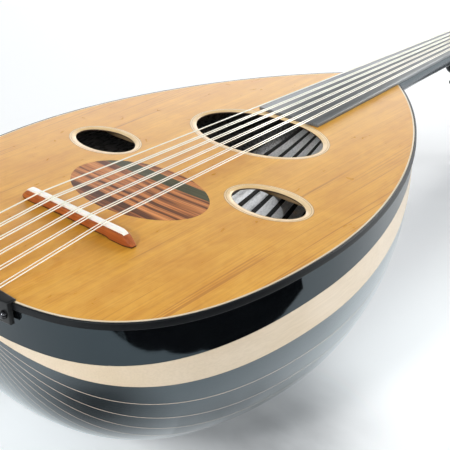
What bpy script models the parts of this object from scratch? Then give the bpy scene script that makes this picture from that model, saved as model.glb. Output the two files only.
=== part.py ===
"""A floating-bridge oud: an eleven-string lute with a ribbed bowl back and a bent-back pegbox.

Everything is modelled along the strings: X runs from the tail (0) towards the neck, Y across
the soundboard and Z up from its top face. The empty "oud" then moves the whole instrument so that
it lies on its back on Z = 0, with the middle of its length over the origin.
Near pieces are on the -Y side and far pieces on the +Y side. All sizes are in metres.
"""

import math

import bmesh
import bpy
from mathutils import Matrix, Vector

# --- Driving dimensions ---------------------------------------------------------------------

GAP = 0.0003                # between neighbouring pieces

# Body outline: two cubic curves on each side, tail to widest point and widest point to neck joint
BODY_LENGTH = 0.490
HALF_WIDTH = 0.1778
WIDEST_X = 0.1827
TAIL_HANDLE = 0.0992
WIDE_HANDLE_TAIL = 0.1658
WIDE_HANDLE_NECK = 0.1045
NECK_HANDLE = 0.1181
NECK_SLOPE = math.radians(48.6)
JOINT_HALF_WIDTH = 0.0293
OUTLINE_STEPS = 15          # straight pieces in each cubic

# Soundboard and its edge
BOARD_THICKNESS = 0.0020
PURFLING_WIDTH = 0.0012
BINDING_WIDTH = 0.0018
BINDING_HEIGHT = 0.0055

# Bowl: the side rib stands upright, and the ribs below it follow a rounded section
RIM_DROP_TAIL = 0.0352      # bottom edge of the side rib under the board, at the tail
RIM_DROP_NECK = 0.0181      # and where it would be at the neck without the taper
BOWL_DEPTH_RATIO = 0.922    # depth of the ribbed part over its half width, mid-body
BOWL_DEPTH_TILT = 0.413     # how much deeper the ratio gets from tail to neck
BOWL_EXPONENT = 2.378       # 2 is an ellipse, and more is squarer
HEEL_TAPER_POWER = 8        # the bowl thins quickly just before the neck
RIM_TAPER = 0.70
DEPTH_TAPER = 0.36
RIB_THICKNESS = 0.0024
RIB_INSET = 0.00028         # each rib stops this far short of the line it shares
MAPLE_ANGLE = math.radians(7.1)
RIBS_PER_PANEL = 3
PANELS = ("near_a", "near_b", "near_c", "centre", "far_c", "far_b", "far_a")
TIP_HALF_WIDTH = 0.008      # where the ribs end under the clasp at the tail
CLASP_SIZE = (0.012, 0.011)
CLASP_DROP = 0.001          # its centre, under the point where the ribs meet
CLASP_NEAR, CLASP_FAR = 0.0004, 0.0016      # its faces, out from the tail

# Soundholes and pickguard: centre X, centre Y, half length along X, half width along Y
LARGE_HOLE = (0.3114, 0.0, 0.0379, 0.0672)
SMALL_HOLE_X, SMALL_HOLE_Y = 0.2144, 0.0956
SMALL_HOLE_SIZE = (0.0187, 0.0340)
RING_WIDTH = 0.0062
PICKGUARD = (0.1669, 0.0, 0.0394, 0.0697)
PICKGUARD_THICKNESS = 0.0007
HOLE_STEPS = 32             # straight pieces in each oval

# Neck, fingerboard and nut
BOARD_END_X = 0.3533        # end of the fingerboard, over the soundboard
BOARD_END_HALF = 0.0347
NUT_X = 0.689
NUT_HALF = 0.0187
NUT_THICKNESS = 0.0040
NECK_DEPTH = 0.0205
HEEL_EXTRA = 0.0058         # how much deeper the neck is at the body
HEEL_LENGTH = 0.012
NECK_EXPONENT = 2.2
FINGERBOARD_BOTTOM = GAP
FINGERBOARD_TOP = 0.0033
NUT_TOP = 0.0035
NUT_ROUNDING = 0.0006

# Pegbox, bent back from the end of the neck
PEGBOX_ANGLE = math.radians(62)
PEGBOX_X = 0.693
PEGBOX_LENGTH = 0.1997
PEGBOX_ROOT_HALF = 0.0192
PEGBOX_END_HALF = 0.0130
PEGBOX_ROOT_HEIGHT = 0.024
PEGBOX_END_HEIGHT = 0.019
CHEEK_THICKNESS = 0.0055
FLOOR_THICKNESS = 0.0045
END_BLOCK_LENGTH = 0.010
REBATE_LENGTH = 0.042       # the cheeks are thinned here so that the outer strings clear them
REBATE_DEPTH = 0.010
REBATE_WALL = 0.0020
CHEEK_CHAMFER = 0.006       # at the top of the pegbox's far end

# Pegs: far and near ones alternate along the pegbox
FIRST_PEG = 0.026
PEG_PITCH = 0.030
FAR_PEGS = 6
NEAR_PEGS = 5
PEG_TIP_RADIUS = 0.0031
PEG_CHEEK_RADIUS = 0.0042
PEG_CLEARANCE = 0.0003
PEG_HEAD_LENGTH = 0.026
PEG_HEAD_HALF = 0.0112
PEG_HEAD_FLATNESS = 0.40
PEG_SEGMENTS = 12
PEG_COLLAR_RADIUS = 0.0056
PEG_WAIST_RADIUS = 0.0040
PEG_HEAD_START = 0.005      # from the cheek's outer face to the head
PEG_FIRST_TURN, PEG_TURN_STEP = 20, 37      # degrees: each head is left at another angle

# Bridge: it stands on the soundboard, held only by the strings
BRIDGE_X = 0.1012
BRIDGE_SHIFT = -0.0038
BRIDGE_HALF_BOTTOM = 0.0642
BRIDGE_HALF_TOP = 0.0556
BRIDGE_WIDTH = 0.0086
BRIDGE_TOP = 0.0083
BRIDGE_FOOT = 0.022
BRIDGE_RELIEF = 0.0012
SADDLE_TOP = 0.01065
SADDLE_WIDTH = 0.0050
BRIDGE_TIP_RISE = 0.003     # height of the blunt tip at each end
BRIDGE_TIP_SLANT = 0.002
FOOT_SLOPE = 0.002
SADDLE_END_SLOPE = 0.003
BRIDGE_ROUNDING = 0.0006
SADDLE_ROUNDING = 0.0004

# Tail end
TAILPIECE_FRONT = 0.0054
TAILPIECE_HALF = 0.060
TAILPIECE_TOP = 0.0018
TAILPIECE_BOTTOM = -0.0160
TAILPIECE_OFFSET = 0.0055   # outer face, outside the body outline
TAILPIECE_ROUNDING = 0.0012
RAIL_HALF = 0.047
RAIL_THICKNESS = 0.0014
RAIL_LOW, RAIL_HIGH = -0.0120, -0.0070
STUD_RADIUS = 0.0016
STUD_HEAD_RADIUS = 0.0026
STUD_LENGTH = 0.0040
SCREW_Y, SCREW_Z = 0.0560, -0.0085
SCREW_RADIUS = 0.0030

# Strings: each has its course, its diameter and its places at bridge and nut
COURSE_AT_BRIDGE = (0.0361, 0.0217, 0.0072, -0.0080, -0.0229, -0.0391)
COURSE_AT_NUT = (0.0152, 0.0091, 0.0031, -0.0029, -0.0090, -0.0151)
PAIR_AT_BRIDGE = 0.0029
PAIR_AT_NUT = 0.0020
TAIL_SPREAD = 1.08
COURSE_DIAMETER = (0.00115, 0.00110, 0.00105, 0.00100, 0.00095, 0.00090)

# Inside the bowl
BRACE_X = (0.060, 0.140, 0.253, 0.385)
BRACE_WIDTH = 0.005
BRACE_HEIGHT = 0.016
BRACE_END_HEIGHT = 0.004
BRACE_SCOOP = 0.030         # length of the slope at each end of a brace
BRACE_END_GAP = 0.004
TAIL_BLOCK_LENGTH = 0.024
NECK_BLOCK_LENGTH = 0.036
NECK_BLOCK_CLEARANCE = 0.009
NECK_BLOCK_DEPTH = 0.0165
NECK_BLOCK_SLOPE = 0.3

# Where the instrument lies in its own frame
FLOOR_DROP = 0.18517
LENGTH_MIDDLE = 0.38622

# --- Scene, collections and materials -------------------------------------------------------

for old in list(bpy.data.objects):
    bpy.data.objects.remove(old, do_unlink=True)

parts = bpy.data.collections.new("oud")
cutters = bpy.data.collections.new("cutters")
for collection in (parts, cutters):
    bpy.context.scene.collection.children.link(collection)


def material(name, color, roughness, metallic=0.0):
    made = bpy.data.materials.new(name)
    made.use_nodes = True
    shader = made.node_tree.nodes["Principled BSDF"]
    shader.inputs["Base Color"].default_value = (*color, 1.0)
    shader.inputs["Roughness"].default_value = roughness
    shader.inputs["Metallic"].default_value = metallic
    return made


CEDAR = material("cedar", (0.62, 0.33, 0.12), 0.45)
MAPLE = material("maple", (0.78, 0.62, 0.42), 0.35)
EBONY = material("ebony", (0.012, 0.013, 0.016), 0.12)
SATIN_EBONY = material("satin_ebony", (0.055, 0.055, 0.058), 0.40)
ROSEWOOD = material("rosewood", (0.24, 0.09, 0.05), 0.35)
BRIDGE_WOOD = material("bridge_wood", (0.32, 0.09, 0.04), 0.40)
BONE = material("bone", (0.90, 0.88, 0.82), 0.35)
NYLON = material("nylon", (0.86, 0.82, 0.70), 0.25)
STEEL = material("steel", (0.62, 0.62, 0.63), 0.25, 1.0)
SPRUCE = material("spruce", (0.66, 0.48, 0.28), 0.60)


def empty(name, location, rotation=(0, 0, 0), parent=None):
    frame = bpy.data.objects.new(name, None)
    frame.location = location
    frame.rotation_euler = rotation
    frame.parent = parent
    parts.objects.link(frame)
    return frame


oud = empty("oud", (-LENGTH_MIDDLE, 0, FLOOR_DROP))
pegbox = empty("pegbox", (PEGBOX_X, 0, 0), (0, PEGBOX_ANGLE, 0), oud)

# --- Making solids --------------------------------------------------------------------------

FLAT = Matrix.Identity(4)
ACROSS = Matrix(((0, 0, 1, 0), (1, 0, 0, 0), (0, 1, 0, 0), (0, 0, 0, 1)))      # outline in Y, Z
UPRIGHT = Matrix(((1, 0, 0, 0), (0, 0, -1, 0), (0, 1, 0, 0), (0, 0, 0, 1)))    # outline in X, Z


def add(name, mesh, slot, parent=oud, location=(0, 0, 0), rotation=(0, 0, 0)):
    """Put a mesh in the scene as one named piece."""
    made = bpy.data.objects.new(name, mesh)
    made.location = location
    made.rotation_euler = rotation
    made.parent = parent
    mesh.materials.clear()
    mesh.materials.append(slot)
    parts.objects.link(made)
    return made


def solid_mesh(source):
    """The mesh of a curve or of an object with modifiers, with its seams welded."""
    bpy.context.scene.collection.objects.link(source)
    evaluated = source.evaluated_get(bpy.context.evaluated_depsgraph_get())
    mesh = bpy.data.meshes.new_from_object(evaluated)
    bpy.data.objects.remove(source, do_unlink=True)
    shape = bmesh.new()
    shape.from_mesh(mesh)
    bmesh.ops.remove_doubles(shape, verts=shape.verts, dist=0.00001)
    bmesh.ops.recalc_face_normals(shape, faces=shape.faces)
    shape.to_mesh(mesh)
    shape.free()
    return mesh


def plate_mesh(loops, low, high, plane=FLAT):
    """A flat outline with any holes, as thick as high - low along its normal."""
    curve = bpy.data.curves.new("plate", "CURVE")
    curve.dimensions = "2D"
    curve.fill_mode = "BOTH"
    curve.extrude = (high - low) / 2
    for loop in loops:
        spline = curve.splines.new("POLY")
        spline.points.add(len(loop) - 1)
        for point, (x, y) in zip(spline.points, loop):
            point.co = (x, y, 0, 1)
        spline.use_cyclic_u = True
    mesh = solid_mesh(bpy.data.objects.new("plate", curve))
    mesh.transform(plane @ Matrix.Translation((0, 0, (high + low) / 2)))
    return mesh


def loft_mesh(rings):
    """A closed solid through rings of the same number of points."""
    shape = bmesh.new()
    rows = [[shape.verts.new(point) for point in ring] for ring in rings]
    for row, following in zip(rows, rows[1:]):
        for k in range(len(row)):
            j = (k + 1) % len(row)
            shape.faces.new((row[k], row[j], following[j], following[k]))
    shape.faces.new(rows[0])
    shape.faces.new(rows[-1])
    bmesh.ops.recalc_face_normals(shape, faces=shape.faces)
    mesh = bpy.data.meshes.new("loft")
    shape.to_mesh(mesh)
    shape.free()
    return mesh


def turned_mesh(profile, segments):
    """A profile of radius and height points, turned about Z with a Screw modifier."""
    mesh = bpy.data.meshes.new("profile")
    points = [(radius, 0, height) for radius, height in reversed(profile)]
    mesh.from_pydata(points, [(k, k + 1) for k in range(len(points) - 1)], [])
    source = bpy.data.objects.new("profile", mesh)
    screw = source.modifiers.new("turn", "SCREW")
    screw.steps = screw.render_steps = segments
    screw.use_merge_vertices = True
    screw.merge_threshold = 0.00001
    return solid_mesh(source)


def cutter(name, mesh, parent=oud):
    """A shape that only cuts others."""
    tool = bpy.data.objects.new(name, mesh)
    tool.parent = parent
    tool.hide_render = True
    tool.display_type = "WIRE"
    cutters.objects.link(tool)
    return tool


def combine(piece, tool, operation):
    boolean = piece.modifiers.new(tool.name, "BOOLEAN")
    boolean.operation = operation
    boolean.solver = "EXACT"
    boolean.object = tool


def bevel(piece, width, segments=1):
    rounding = piece.modifiers.new("bevel", "BEVEL")
    rounding.width = width
    rounding.segments = segments
    rounding.limit_method = "ANGLE"


# --- Body outline and bowl surface ----------------------------------------------------------


def cubic(points, t):
    a, b, c, d = points
    return a * (1 - t) ** 3 + b * 3 * (1 - t) ** 2 * t + c * 3 * (1 - t) * t ** 2 + d * t ** 3


JOINT = Vector((BODY_LENGTH, JOINT_HALF_WIDTH))
NECK_PULL = Vector((-math.cos(NECK_SLOPE), math.sin(NECK_SLOPE))) * NECK_HANDLE
TAIL_CURVE = (Vector((0, 0)), Vector((0, TAIL_HANDLE)),
              Vector((WIDEST_X - WIDE_HANDLE_TAIL, HALF_WIDTH)), Vector((WIDEST_X, HALF_WIDTH)))
NECK_CURVE = (Vector((WIDEST_X, HALF_WIDTH)), Vector((WIDEST_X + WIDE_HANDLE_NECK, HALF_WIDTH)),
              JOINT + NECK_PULL, JOINT)


def edge(p, offset=0.0):
    """X and half width of the body at p (0 tail, 1 widest, 2 neck), offset outwards."""
    curve, t = (TAIL_CURVE, p) if p < 1 else (NECK_CURVE, p - 1)
    step = 0.0005
    ahead = cubic(curve, t + step) - cubic(curve, t - step)
    outward = Vector((-ahead.y, ahead.x)).normalized()
    point = cubic(curve, t) + outward * offset
    return Vector((min(point.x, BODY_LENGTH), point.y))


def edge_at_width(half_width):
    """The p of the outline's tail part where the body is this wide."""
    low, high = 0.0, 1.0
    for _ in range(40):
        middle = (low + high) / 2
        if edge(middle).y < half_width:
            low = middle
        else:
            high = middle
    return low


STATIONS = [k / OUTLINE_STEPS for k in range(2 * OUTLINE_STEPS + 1)]


def around(offset, stations=STATIONS):
    """Outline points from the near neck corner round the tail to the far neck corner."""
    far = [edge(p, offset) for p in stations]
    near = [Vector((point.x, -point.y)) for point in reversed(far)]
    return near[:-1] + [Vector((point.x, point.y if k else 0.0)) for k, point in enumerate(far)]


def edge_strip(inner, outer):
    """A strip along the body's edge, open at the neck."""
    return around(outer) + list(reversed(around(inner)))


def oval(centre_x, centre_y, half_x, half_y, grow=0.0):
    angles = [2 * math.pi * k / HOLE_STEPS for k in range(HOLE_STEPS)]
    return [(centre_x + (half_x + grow) * math.cos(a), centre_y + (half_y + grow) * math.sin(a))
            for a in angles]


def bowl_section(p):
    """X, half width, rim drop and depth below the rim of the bowl at p."""
    point = edge(p, -GAP / 3)
    along = point.x / BODY_LENGTH
    taper = along ** HEEL_TAPER_POWER
    drop = (RIM_DROP_TAIL + (RIM_DROP_NECK - RIM_DROP_TAIL) * along) * (1 - RIM_TAPER * taper)
    ratio = BOWL_DEPTH_RATIO * (1 + BOWL_DEPTH_TILT * (along - 0.5)) * (1 - DEPTH_TAPER * taper)
    return point.x, point.y, drop, ratio * point.y


def power(value, exponent):
    return math.copysign(abs(value) ** (2 / exponent), value)


def bowl_point(p, angle):
    """A point on the bowl: angle 0 is the near rim, 90 degrees the bottom, 180 the far rim."""
    x, half, drop, depth = bowl_section(p)
    return Vector((x, -half * power(math.cos(angle), BOWL_EXPONENT),
                   -drop - depth * power(math.sin(angle), BOWL_EXPONENT)))


def bowl_point_inset(p, angle, distance):
    """The same, moved round the section by a distance."""
    step = 0.01
    speed = (bowl_point(p, angle + step) - bowl_point(p, angle - step)).length / (2 * step)
    return bowl_point(p, angle + distance / speed)


def shell(name, rows, slot):
    """A thin shell inwards from rows of points on the bowl, each row near side to far side."""
    shape = bmesh.new()
    grid = [[shape.verts.new(point) for point in row] for row in rows]
    for row, following in zip(grid, grid[1:]):
        for k in range(len(row) - 1):
            shape.faces.new((row[k], row[k + 1], following[k + 1], following[k]))
    mesh = bpy.data.meshes.new(name)
    shape.to_mesh(mesh)
    shape.free()
    piece = add(name, mesh, slot)
    thicken = piece.modifiers.new("thickness", "SOLIDIFY")
    thicken.thickness = RIB_THICKNESS
    thicken.offset = -1
    thicken.use_even_offset = True


# --- Bowl: side ribs, maple ribs and panels of narrow ribs ----------------------------------

TIP = edge_at_width(TIP_HALF_WIDTH)
RIB_STATIONS = [TIP] + [p for p in STATIONS if p > 2 * TIP]
PANEL_STATIONS = [TIP] + [p for p in STATIONS[1::2] if p > 2 * TIP] + [2.0]
BOARD_BOTTOM = -BOARD_THICKNESS - GAP


def side_rib(name, side):
    rows = []
    for p in [edge_at_width(GAP)] + STATIONS[1:]:
        x, half, drop, _ = bowl_section(p)
        row = [Vector((x, side * half, z)) for z in (BOARD_BOTTOM, RIB_INSET - drop)]
        rows.append(row if side < 0 else row[::-1])
    shell(name, rows, EBONY)


def rib_panel(name, low, high, count, stations, slot):
    """One shell of count ribs between two angles, flat across each rib."""
    rows = []
    for p in stations:
        inner = [bowl_point(p, low + (high - low) * k / count) for k in range(1, count)]
        rows.append([bowl_point_inset(p, low, RIB_INSET), *inner,
                     bowl_point_inset(p, high, -RIB_INSET)])
    shell(name, rows, slot)


side_rib("side_rib_near", -1)
side_rib("side_rib_far", 1)
rib_panel("maple_rib_near", 0, MAPLE_ANGLE, 1, RIB_STATIONS, MAPLE)
rib_panel("maple_rib_far", math.pi - MAPLE_ANGLE, math.pi, 1, RIB_STATIONS, MAPLE)
panel_angle = (math.pi - 2 * MAPLE_ANGLE) / len(PANELS)
for index, label in enumerate(PANELS):
    start = MAPLE_ANGLE + index * panel_angle
    rib_panel("bowl_panel_" + label, start, start + panel_angle, RIBS_PER_PANEL,
              PANEL_STATIONS, EBONY)

clasp = oval(0, -RIM_DROP_TAIL - CLASP_DROP, *CLASP_SIZE)
add("rib_end_clasp", plate_mesh([clasp], -CLASP_FAR, -CLASP_NEAR, ACROSS), EBONY)

# --- Soundboard, edge, rings and pickguard --------------------------------------------------

holes = {"large": LARGE_HOLE,
         "near": (SMALL_HOLE_X, -SMALL_HOLE_Y, *SMALL_HOLE_SIZE),
         "far": (SMALL_HOLE_X, SMALL_HOLE_Y, *SMALL_HOLE_SIZE)}
board_edge = -PURFLING_WIDTH - GAP / 3 - GAP
cut_outs = [oval(*hole, grow=RING_WIDTH + GAP) for hole in holes.values()]
board = plate_mesh([around(board_edge), *cut_outs], -BOARD_THICKNESS, 0)
soundboard = add("soundboard", board, CEDAR)
pocket = plate_mesh([oval(*PICKGUARD, grow=GAP)], -PICKGUARD_THICKNESS - GAP, BOARD_THICKNESS)
combine(soundboard, cutter("pickguard_pocket", pocket), "DIFFERENCE")
add("pickguard", plate_mesh([oval(*PICKGUARD)], -PICKGUARD_THICKNESS, 0), ROSEWOOD)
for label, hole in holes.items():
    ring = plate_mesh([oval(*hole, grow=RING_WIDTH), oval(*hole)], -BOARD_THICKNESS, 0)
    add("soundhole_ring_" + label, ring, MAPLE)
purfling = edge_strip(-PURFLING_WIDTH - GAP / 3, -GAP / 3)
add("purfling_line", plate_mesh([purfling], -BOARD_THICKNESS, 0), MAPLE)
binding = edge_strip(GAP * 2 / 3, GAP * 2 / 3 + BINDING_WIDTH)
add("edge_binding", plate_mesh([binding], -BINDING_HEIGHT, 0), EBONY)

# --- Inside: blocks and braces --------------------------------------------------------------

inside = -RIB_THICKNESS - 4 * GAP
block_stations = [p for p in STATIONS if edge(p, inside).x < TAIL_BLOCK_LENGTH - BOARD_THICKNESS]
block_edge = around(inside, block_stations)
block_edge.append(Vector((TAIL_BLOCK_LENGTH, block_edge[-1].y)))
block_edge.insert(0, Vector((TAIL_BLOCK_LENGTH, block_edge[0].y)))
block_bottom = BOARD_THICKNESS - RIM_DROP_TAIL
add("tail_block", plate_mesh([block_edge], block_bottom, BOARD_BOTTOM), SPRUCE)


def width_at(x):
    """Half width of the body at a place along it."""
    low, high = 0.0, 2.0
    for _ in range(40):
        middle = (low + high) / 2
        if edge(middle).x < x:
            low = middle
        else:
            high = middle
    return edge(low).y


for number, x in enumerate(BRACE_X, 1):
    half = width_at(x) - RIB_THICKNESS - BRACE_END_GAP
    top, bottom = BOARD_BOTTOM, BOARD_BOTTOM - BRACE_HEIGHT
    end = top - BRACE_END_HEIGHT
    profile = [(-half, top), (half, top), (half, end), (half - BRACE_SCOOP, bottom),
               (BRACE_SCOOP - half, bottom), (-half, end)]
    brace = plate_mesh([profile], x - BRACE_WIDTH / 2, x + BRACE_WIDTH / 2, ACROSS)
    add(f"brace_{number}", brace, SPRUCE)


def neck_ring(x, half, depth, lean=0.0, exponent=NECK_EXPONENT, top=0.0):
    """A D-shaped section, flat on top; lean moves its lower points along X."""
    ring = []
    count = 10
    for k in range(count + 1):
        angle = math.pi * k / count
        z = top - depth * power(math.sin(angle), exponent)
        ring.append((x + lean * (z - top), -half * power(math.cos(angle), exponent), z))
    return ring


neck_block_rings = []
for x in (BODY_LENGTH - NECK_BLOCK_LENGTH, BODY_LENGTH - BRACE_END_GAP):
    half = width_at(x) - NECK_BLOCK_CLEARANCE
    depth = NECK_BLOCK_DEPTH + (BODY_LENGTH - x) * NECK_BLOCK_SLOPE
    neck_block_rings.append(neck_ring(x, half, depth, top=BOARD_BOTTOM))
add("neck_block", loft_mesh(neck_block_rings), SPRUCE)

# --- Neck, fingerboard and nut --------------------------------------------------------------


def neck_half(x):
    """Half width of the fingerboard, and of the neck under it."""
    joint, nut = BODY_LENGTH, NUT_X
    if x < joint:
        share = (joint - x) / (joint - BOARD_END_X)
        return JOINT_HALF_WIDTH + (BOARD_END_HALF - JOINT_HALF_WIDTH) * share
    return JOINT_HALF_WIDTH + (NUT_HALF - JOINT_HALF_WIDTH) * (x - joint) / (nut - joint)


# The neck and the pegbox meet on a slanted joint from the top corner to the inside of the bend
bend_reach = (NECK_DEPTH - PEGBOX_ROOT_HEIGHT * math.cos(PEGBOX_ANGLE)) / math.sin(PEGBOX_ANGLE)
bend_x = bend_reach * math.cos(PEGBOX_ANGLE) - PEGBOX_ROOT_HEIGHT * math.sin(PEGBOX_ANGLE)
joint_lean = -bend_x / NECK_DEPTH

neck_rings = []
for x in (0, 0.004, 0.010, 0.020, 0.040, 0.080, 0.130, 0.180):
    depth = NECK_DEPTH + HEEL_EXTRA * math.exp(-x / HEEL_LENGTH)
    place = BODY_LENGTH + GAP + x
    neck_rings.append(neck_ring(place, neck_half(place), depth))
neck_rings.append(neck_ring(PEGBOX_X - GAP, NUT_HALF, NECK_DEPTH, lean=joint_lean))
add("neck", loft_mesh(neck_rings), SATIN_EBONY)

board_xs = (BOARD_END_X, BODY_LENGTH, NUT_X - GAP)
board_outline = [(x, -neck_half(x)) for x in board_xs]
board_outline += [(x, neck_half(x)) for x in reversed(board_xs)]
fingerboard = plate_mesh([board_outline], FINGERBOARD_BOTTOM, FINGERBOARD_TOP)
add("fingerboard", fingerboard, SATIN_EBONY)
nut_outline = [(NUT_X, -NUT_HALF), (NUT_X + NUT_THICKNESS, -NUT_HALF),
               (NUT_X + NUT_THICKNESS, NUT_HALF), (NUT_X, NUT_HALF)]
nut = add("nut", plate_mesh([nut_outline], GAP, NUT_TOP), BONE)
bevel(nut, NUT_ROUNDING)

# --- Pegbox ---------------------------------------------------------------------------------
# In its own frame X runs along the pegbox, and Z is 0 on the open face and negative inside.


def pegbox_half(s):
    """Outer half width of the pegbox at s along it."""
    return PEGBOX_ROOT_HALF + (PEGBOX_END_HALF - PEGBOX_ROOT_HALF) * s / PEGBOX_LENGTH


def pegbox_height(s):
    return PEGBOX_ROOT_HEIGHT + (PEGBOX_END_HEIGHT - PEGBOX_ROOT_HEIGHT) * s / PEGBOX_LENGTH


def peg_depth(s):
    """How far the peg's axis lies under the open face."""
    return pegbox_height(s) / 2


cheek_turn = math.atan((PEGBOX_ROOT_HALF - PEGBOX_END_HALF) / PEGBOX_LENGTH)
cheek_outline = [(GAP, 0), (PEGBOX_LENGTH - CHEEK_CHAMFER, 0), (PEGBOX_LENGTH, -CHEEK_CHAMFER),
                 (PEGBOX_LENGTH, -PEGBOX_END_HEIGHT), (bend_reach + GAP, -PEGBOX_ROOT_HEIGHT)]

pegs = [("far", 1, FIRST_PEG + PEG_PITCH * k) for k in range(FAR_PEGS)]
pegs += [("near", -1, FIRST_PEG + PEG_PITCH * (k + 0.5)) for k in range(NEAR_PEGS)]


def peg_frame(side, s):
    """Places a mesh whose Z axis is the peg, pointing at its head, in the pegbox's frame."""
    turn = Matrix.Rotation(-side * math.pi / 2, 4, "X")
    return Matrix.Translation((s, 0, -peg_depth(s))) @ turn


def peg_radius(y, s):
    """The shank's radius at y, counted towards the head, on the peg at s."""
    reach = pegbox_half(s)
    share = (y + reach) / (2 * reach)
    return PEG_TIP_RADIUS + (PEG_CHEEK_RADIUS - PEG_TIP_RADIUS) * share


CUT_REACH = 0.003           # how far the cutters stick out
drill = bmesh.new()
for _, side, s in pegs:
    reach = pegbox_half(s) + CUT_REACH
    bmesh.ops.create_cone(drill, cap_ends=True, segments=PEG_SEGMENTS, depth=2 * reach,
                          radius1=peg_radius(-reach, s) + PEG_CLEARANCE,
                          radius2=peg_radius(reach, s) + PEG_CLEARANCE,
                          matrix=peg_frame(side, s))
drill_mesh = bpy.data.meshes.new("peg_holes")
drill.to_mesh(drill_mesh)
drill.free()
peg_holes = cutter("peg_holes", drill_mesh, pegbox)

for label, side in (("near", -1), ("far", 1)):
    mesh = plate_mesh([cheek_outline], -CHEEK_THICKNESS / 2, CHEEK_THICKNESS / 2, UPRIGHT)
    centre = side * (PEGBOX_ROOT_HALF - CHEEK_THICKNESS / 2)
    turn = -side * cheek_turn
    cheek = add("pegbox_cheek_" + label, mesh, EBONY, pegbox, (0, centre, 0), (0, 0, turn))
    combine(cheek, peg_holes, "DIFFERENCE")
    wall = side * (PEGBOX_ROOT_HALF - REBATE_WALL)
    end_wall = side * (pegbox_half(REBATE_LENGTH) - REBATE_WALL)
    rebate_outline = [(-CUT_REACH, 0), (REBATE_LENGTH, 0), (REBATE_LENGTH, end_wall),
                      (-CUT_REACH, wall)]
    rebate_mesh = plate_mesh([rebate_outline], -REBATE_DEPTH, CUT_REACH)
    combine(cheek, cutter("rebate_" + label, rebate_mesh, pegbox), "DIFFERENCE")


def between_cheeks(start, end):
    """Outline of a plate that fits between the cheeks."""
    outline = []
    for s in (start, end):
        outline.append((s, pegbox_half(s) - CHEEK_THICKNESS - GAP))
    return [(s, -half) for s, half in outline] + outline[::-1]


floor_outline = between_cheeks(bend_reach + 3 * GAP, PEGBOX_LENGTH - 2 * GAP)
floor_mesh = plate_mesh([floor_outline], 0, FLOOR_THICKNESS)
slope = (PEGBOX_ROOT_HEIGHT - PEGBOX_END_HEIGHT) / PEGBOX_LENGTH
for vertex in floor_mesh.vertices:
    vertex.co.z += slope * vertex.co.x - PEGBOX_ROOT_HEIGHT
add("pegbox_back", floor_mesh, EBONY, pegbox)

end_start, end_end = PEGBOX_LENGTH - END_BLOCK_LENGTH, PEGBOX_LENGTH - CHEEK_CHAMFER - GAP
end_bottom = -pegbox_height(end_start) + FLOOR_THICKNESS + 2 * GAP
end_mesh = plate_mesh([between_cheeks(end_start, end_end)], end_bottom, -GAP)
add("pegbox_end", end_mesh, EBONY, pegbox)


def peg_mesh(s):
    """Tapered shank, collar and flattened head, along Z with the cheek's outer face at reach."""
    reach = pegbox_half(s)
    start = reach + PEG_HEAD_START
    tip = -reach - 0.001
    profile = [(0, tip), (peg_radius(-reach, s), tip), (PEG_CHEEK_RADIUS, reach + 0.001),
               (PEG_COLLAR_RADIUS, reach + 0.002), (PEG_COLLAR_RADIUS, start - 0.001),
               (PEG_WAIST_RADIUS, start)]
    for share, size in ((0.25, 0.72), (0.55, 1.0), (0.85, 0.72)):
        profile.append((PEG_HEAD_HALF * size, start + PEG_HEAD_LENGTH * share))
    profile.append((0, start + PEG_HEAD_LENGTH))
    mesh = turned_mesh(profile, PEG_SEGMENTS)
    for vertex in mesh.vertices:
        if vertex.co.z > start + 0.001:
            vertex.co.y *= PEG_HEAD_FLATNESS
    return mesh


for label in ("far", "near"):
    row = [(side, s) for name, side, s in pegs if name == label]
    for number, (side, s) in enumerate(row, 1):
        turn = math.radians(PEG_TURN_STEP * number + PEG_FIRST_TURN)
        frame = peg_frame(side, s) @ Matrix.Rotation(turn, 4, "Z")
        name = f"peg_{label}_{number}"
        add(name, peg_mesh(s), EBONY, pegbox, frame.translation, frame.to_euler())

# --- Bridge ---------------------------------------------------------------------------------

foot = BRIDGE_HALF_BOTTOM - BRIDGE_FOOT
relief = GAP + BRIDGE_RELIEF
near_half = [(foot - FOOT_SLOPE, relief), (foot, GAP), (BRIDGE_HALF_BOTTOM - 0.001, GAP),
             (BRIDGE_HALF_BOTTOM, GAP + 0.001),
             (BRIDGE_HALF_BOTTOM - BRIDGE_TIP_SLANT, GAP + BRIDGE_TIP_RISE),
             (BRIDGE_HALF_TOP, BRIDGE_TOP)]
base_outline = near_half + [(-y, z) for y, z in reversed(near_half)]
bridge_place = (BRIDGE_X, BRIDGE_SHIFT, 0)
base_mesh = plate_mesh([base_outline], -BRIDGE_WIDTH / 2, BRIDGE_WIDTH / 2, ACROSS)
base = add("bridge_base", base_mesh, BRIDGE_WOOD, location=bridge_place)
bevel(base, BRIDGE_ROUNDING)
saddle_low = BRIDGE_TOP + GAP
saddle_top = BRIDGE_HALF_TOP - SADDLE_END_SLOPE
saddle_outline = [(-BRIDGE_HALF_TOP, saddle_low), (BRIDGE_HALF_TOP, saddle_low),
                  (saddle_top, SADDLE_TOP), (-saddle_top, SADDLE_TOP)]
saddle_mesh = plate_mesh([saddle_outline], -SADDLE_WIDTH / 2, SADDLE_WIDTH / 2, ACROSS)
saddle = add("bridge_saddle", saddle_mesh, BONE, location=bridge_place)
bevel(saddle, SADDLE_ROUNDING)

# --- Tailpiece, anchor rail and screws ------------------------------------------------------


def tail_stations(half_width, count=6):
    last = edge_at_width(half_width)
    return [last * k / count for k in range(count + 1)]


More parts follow.
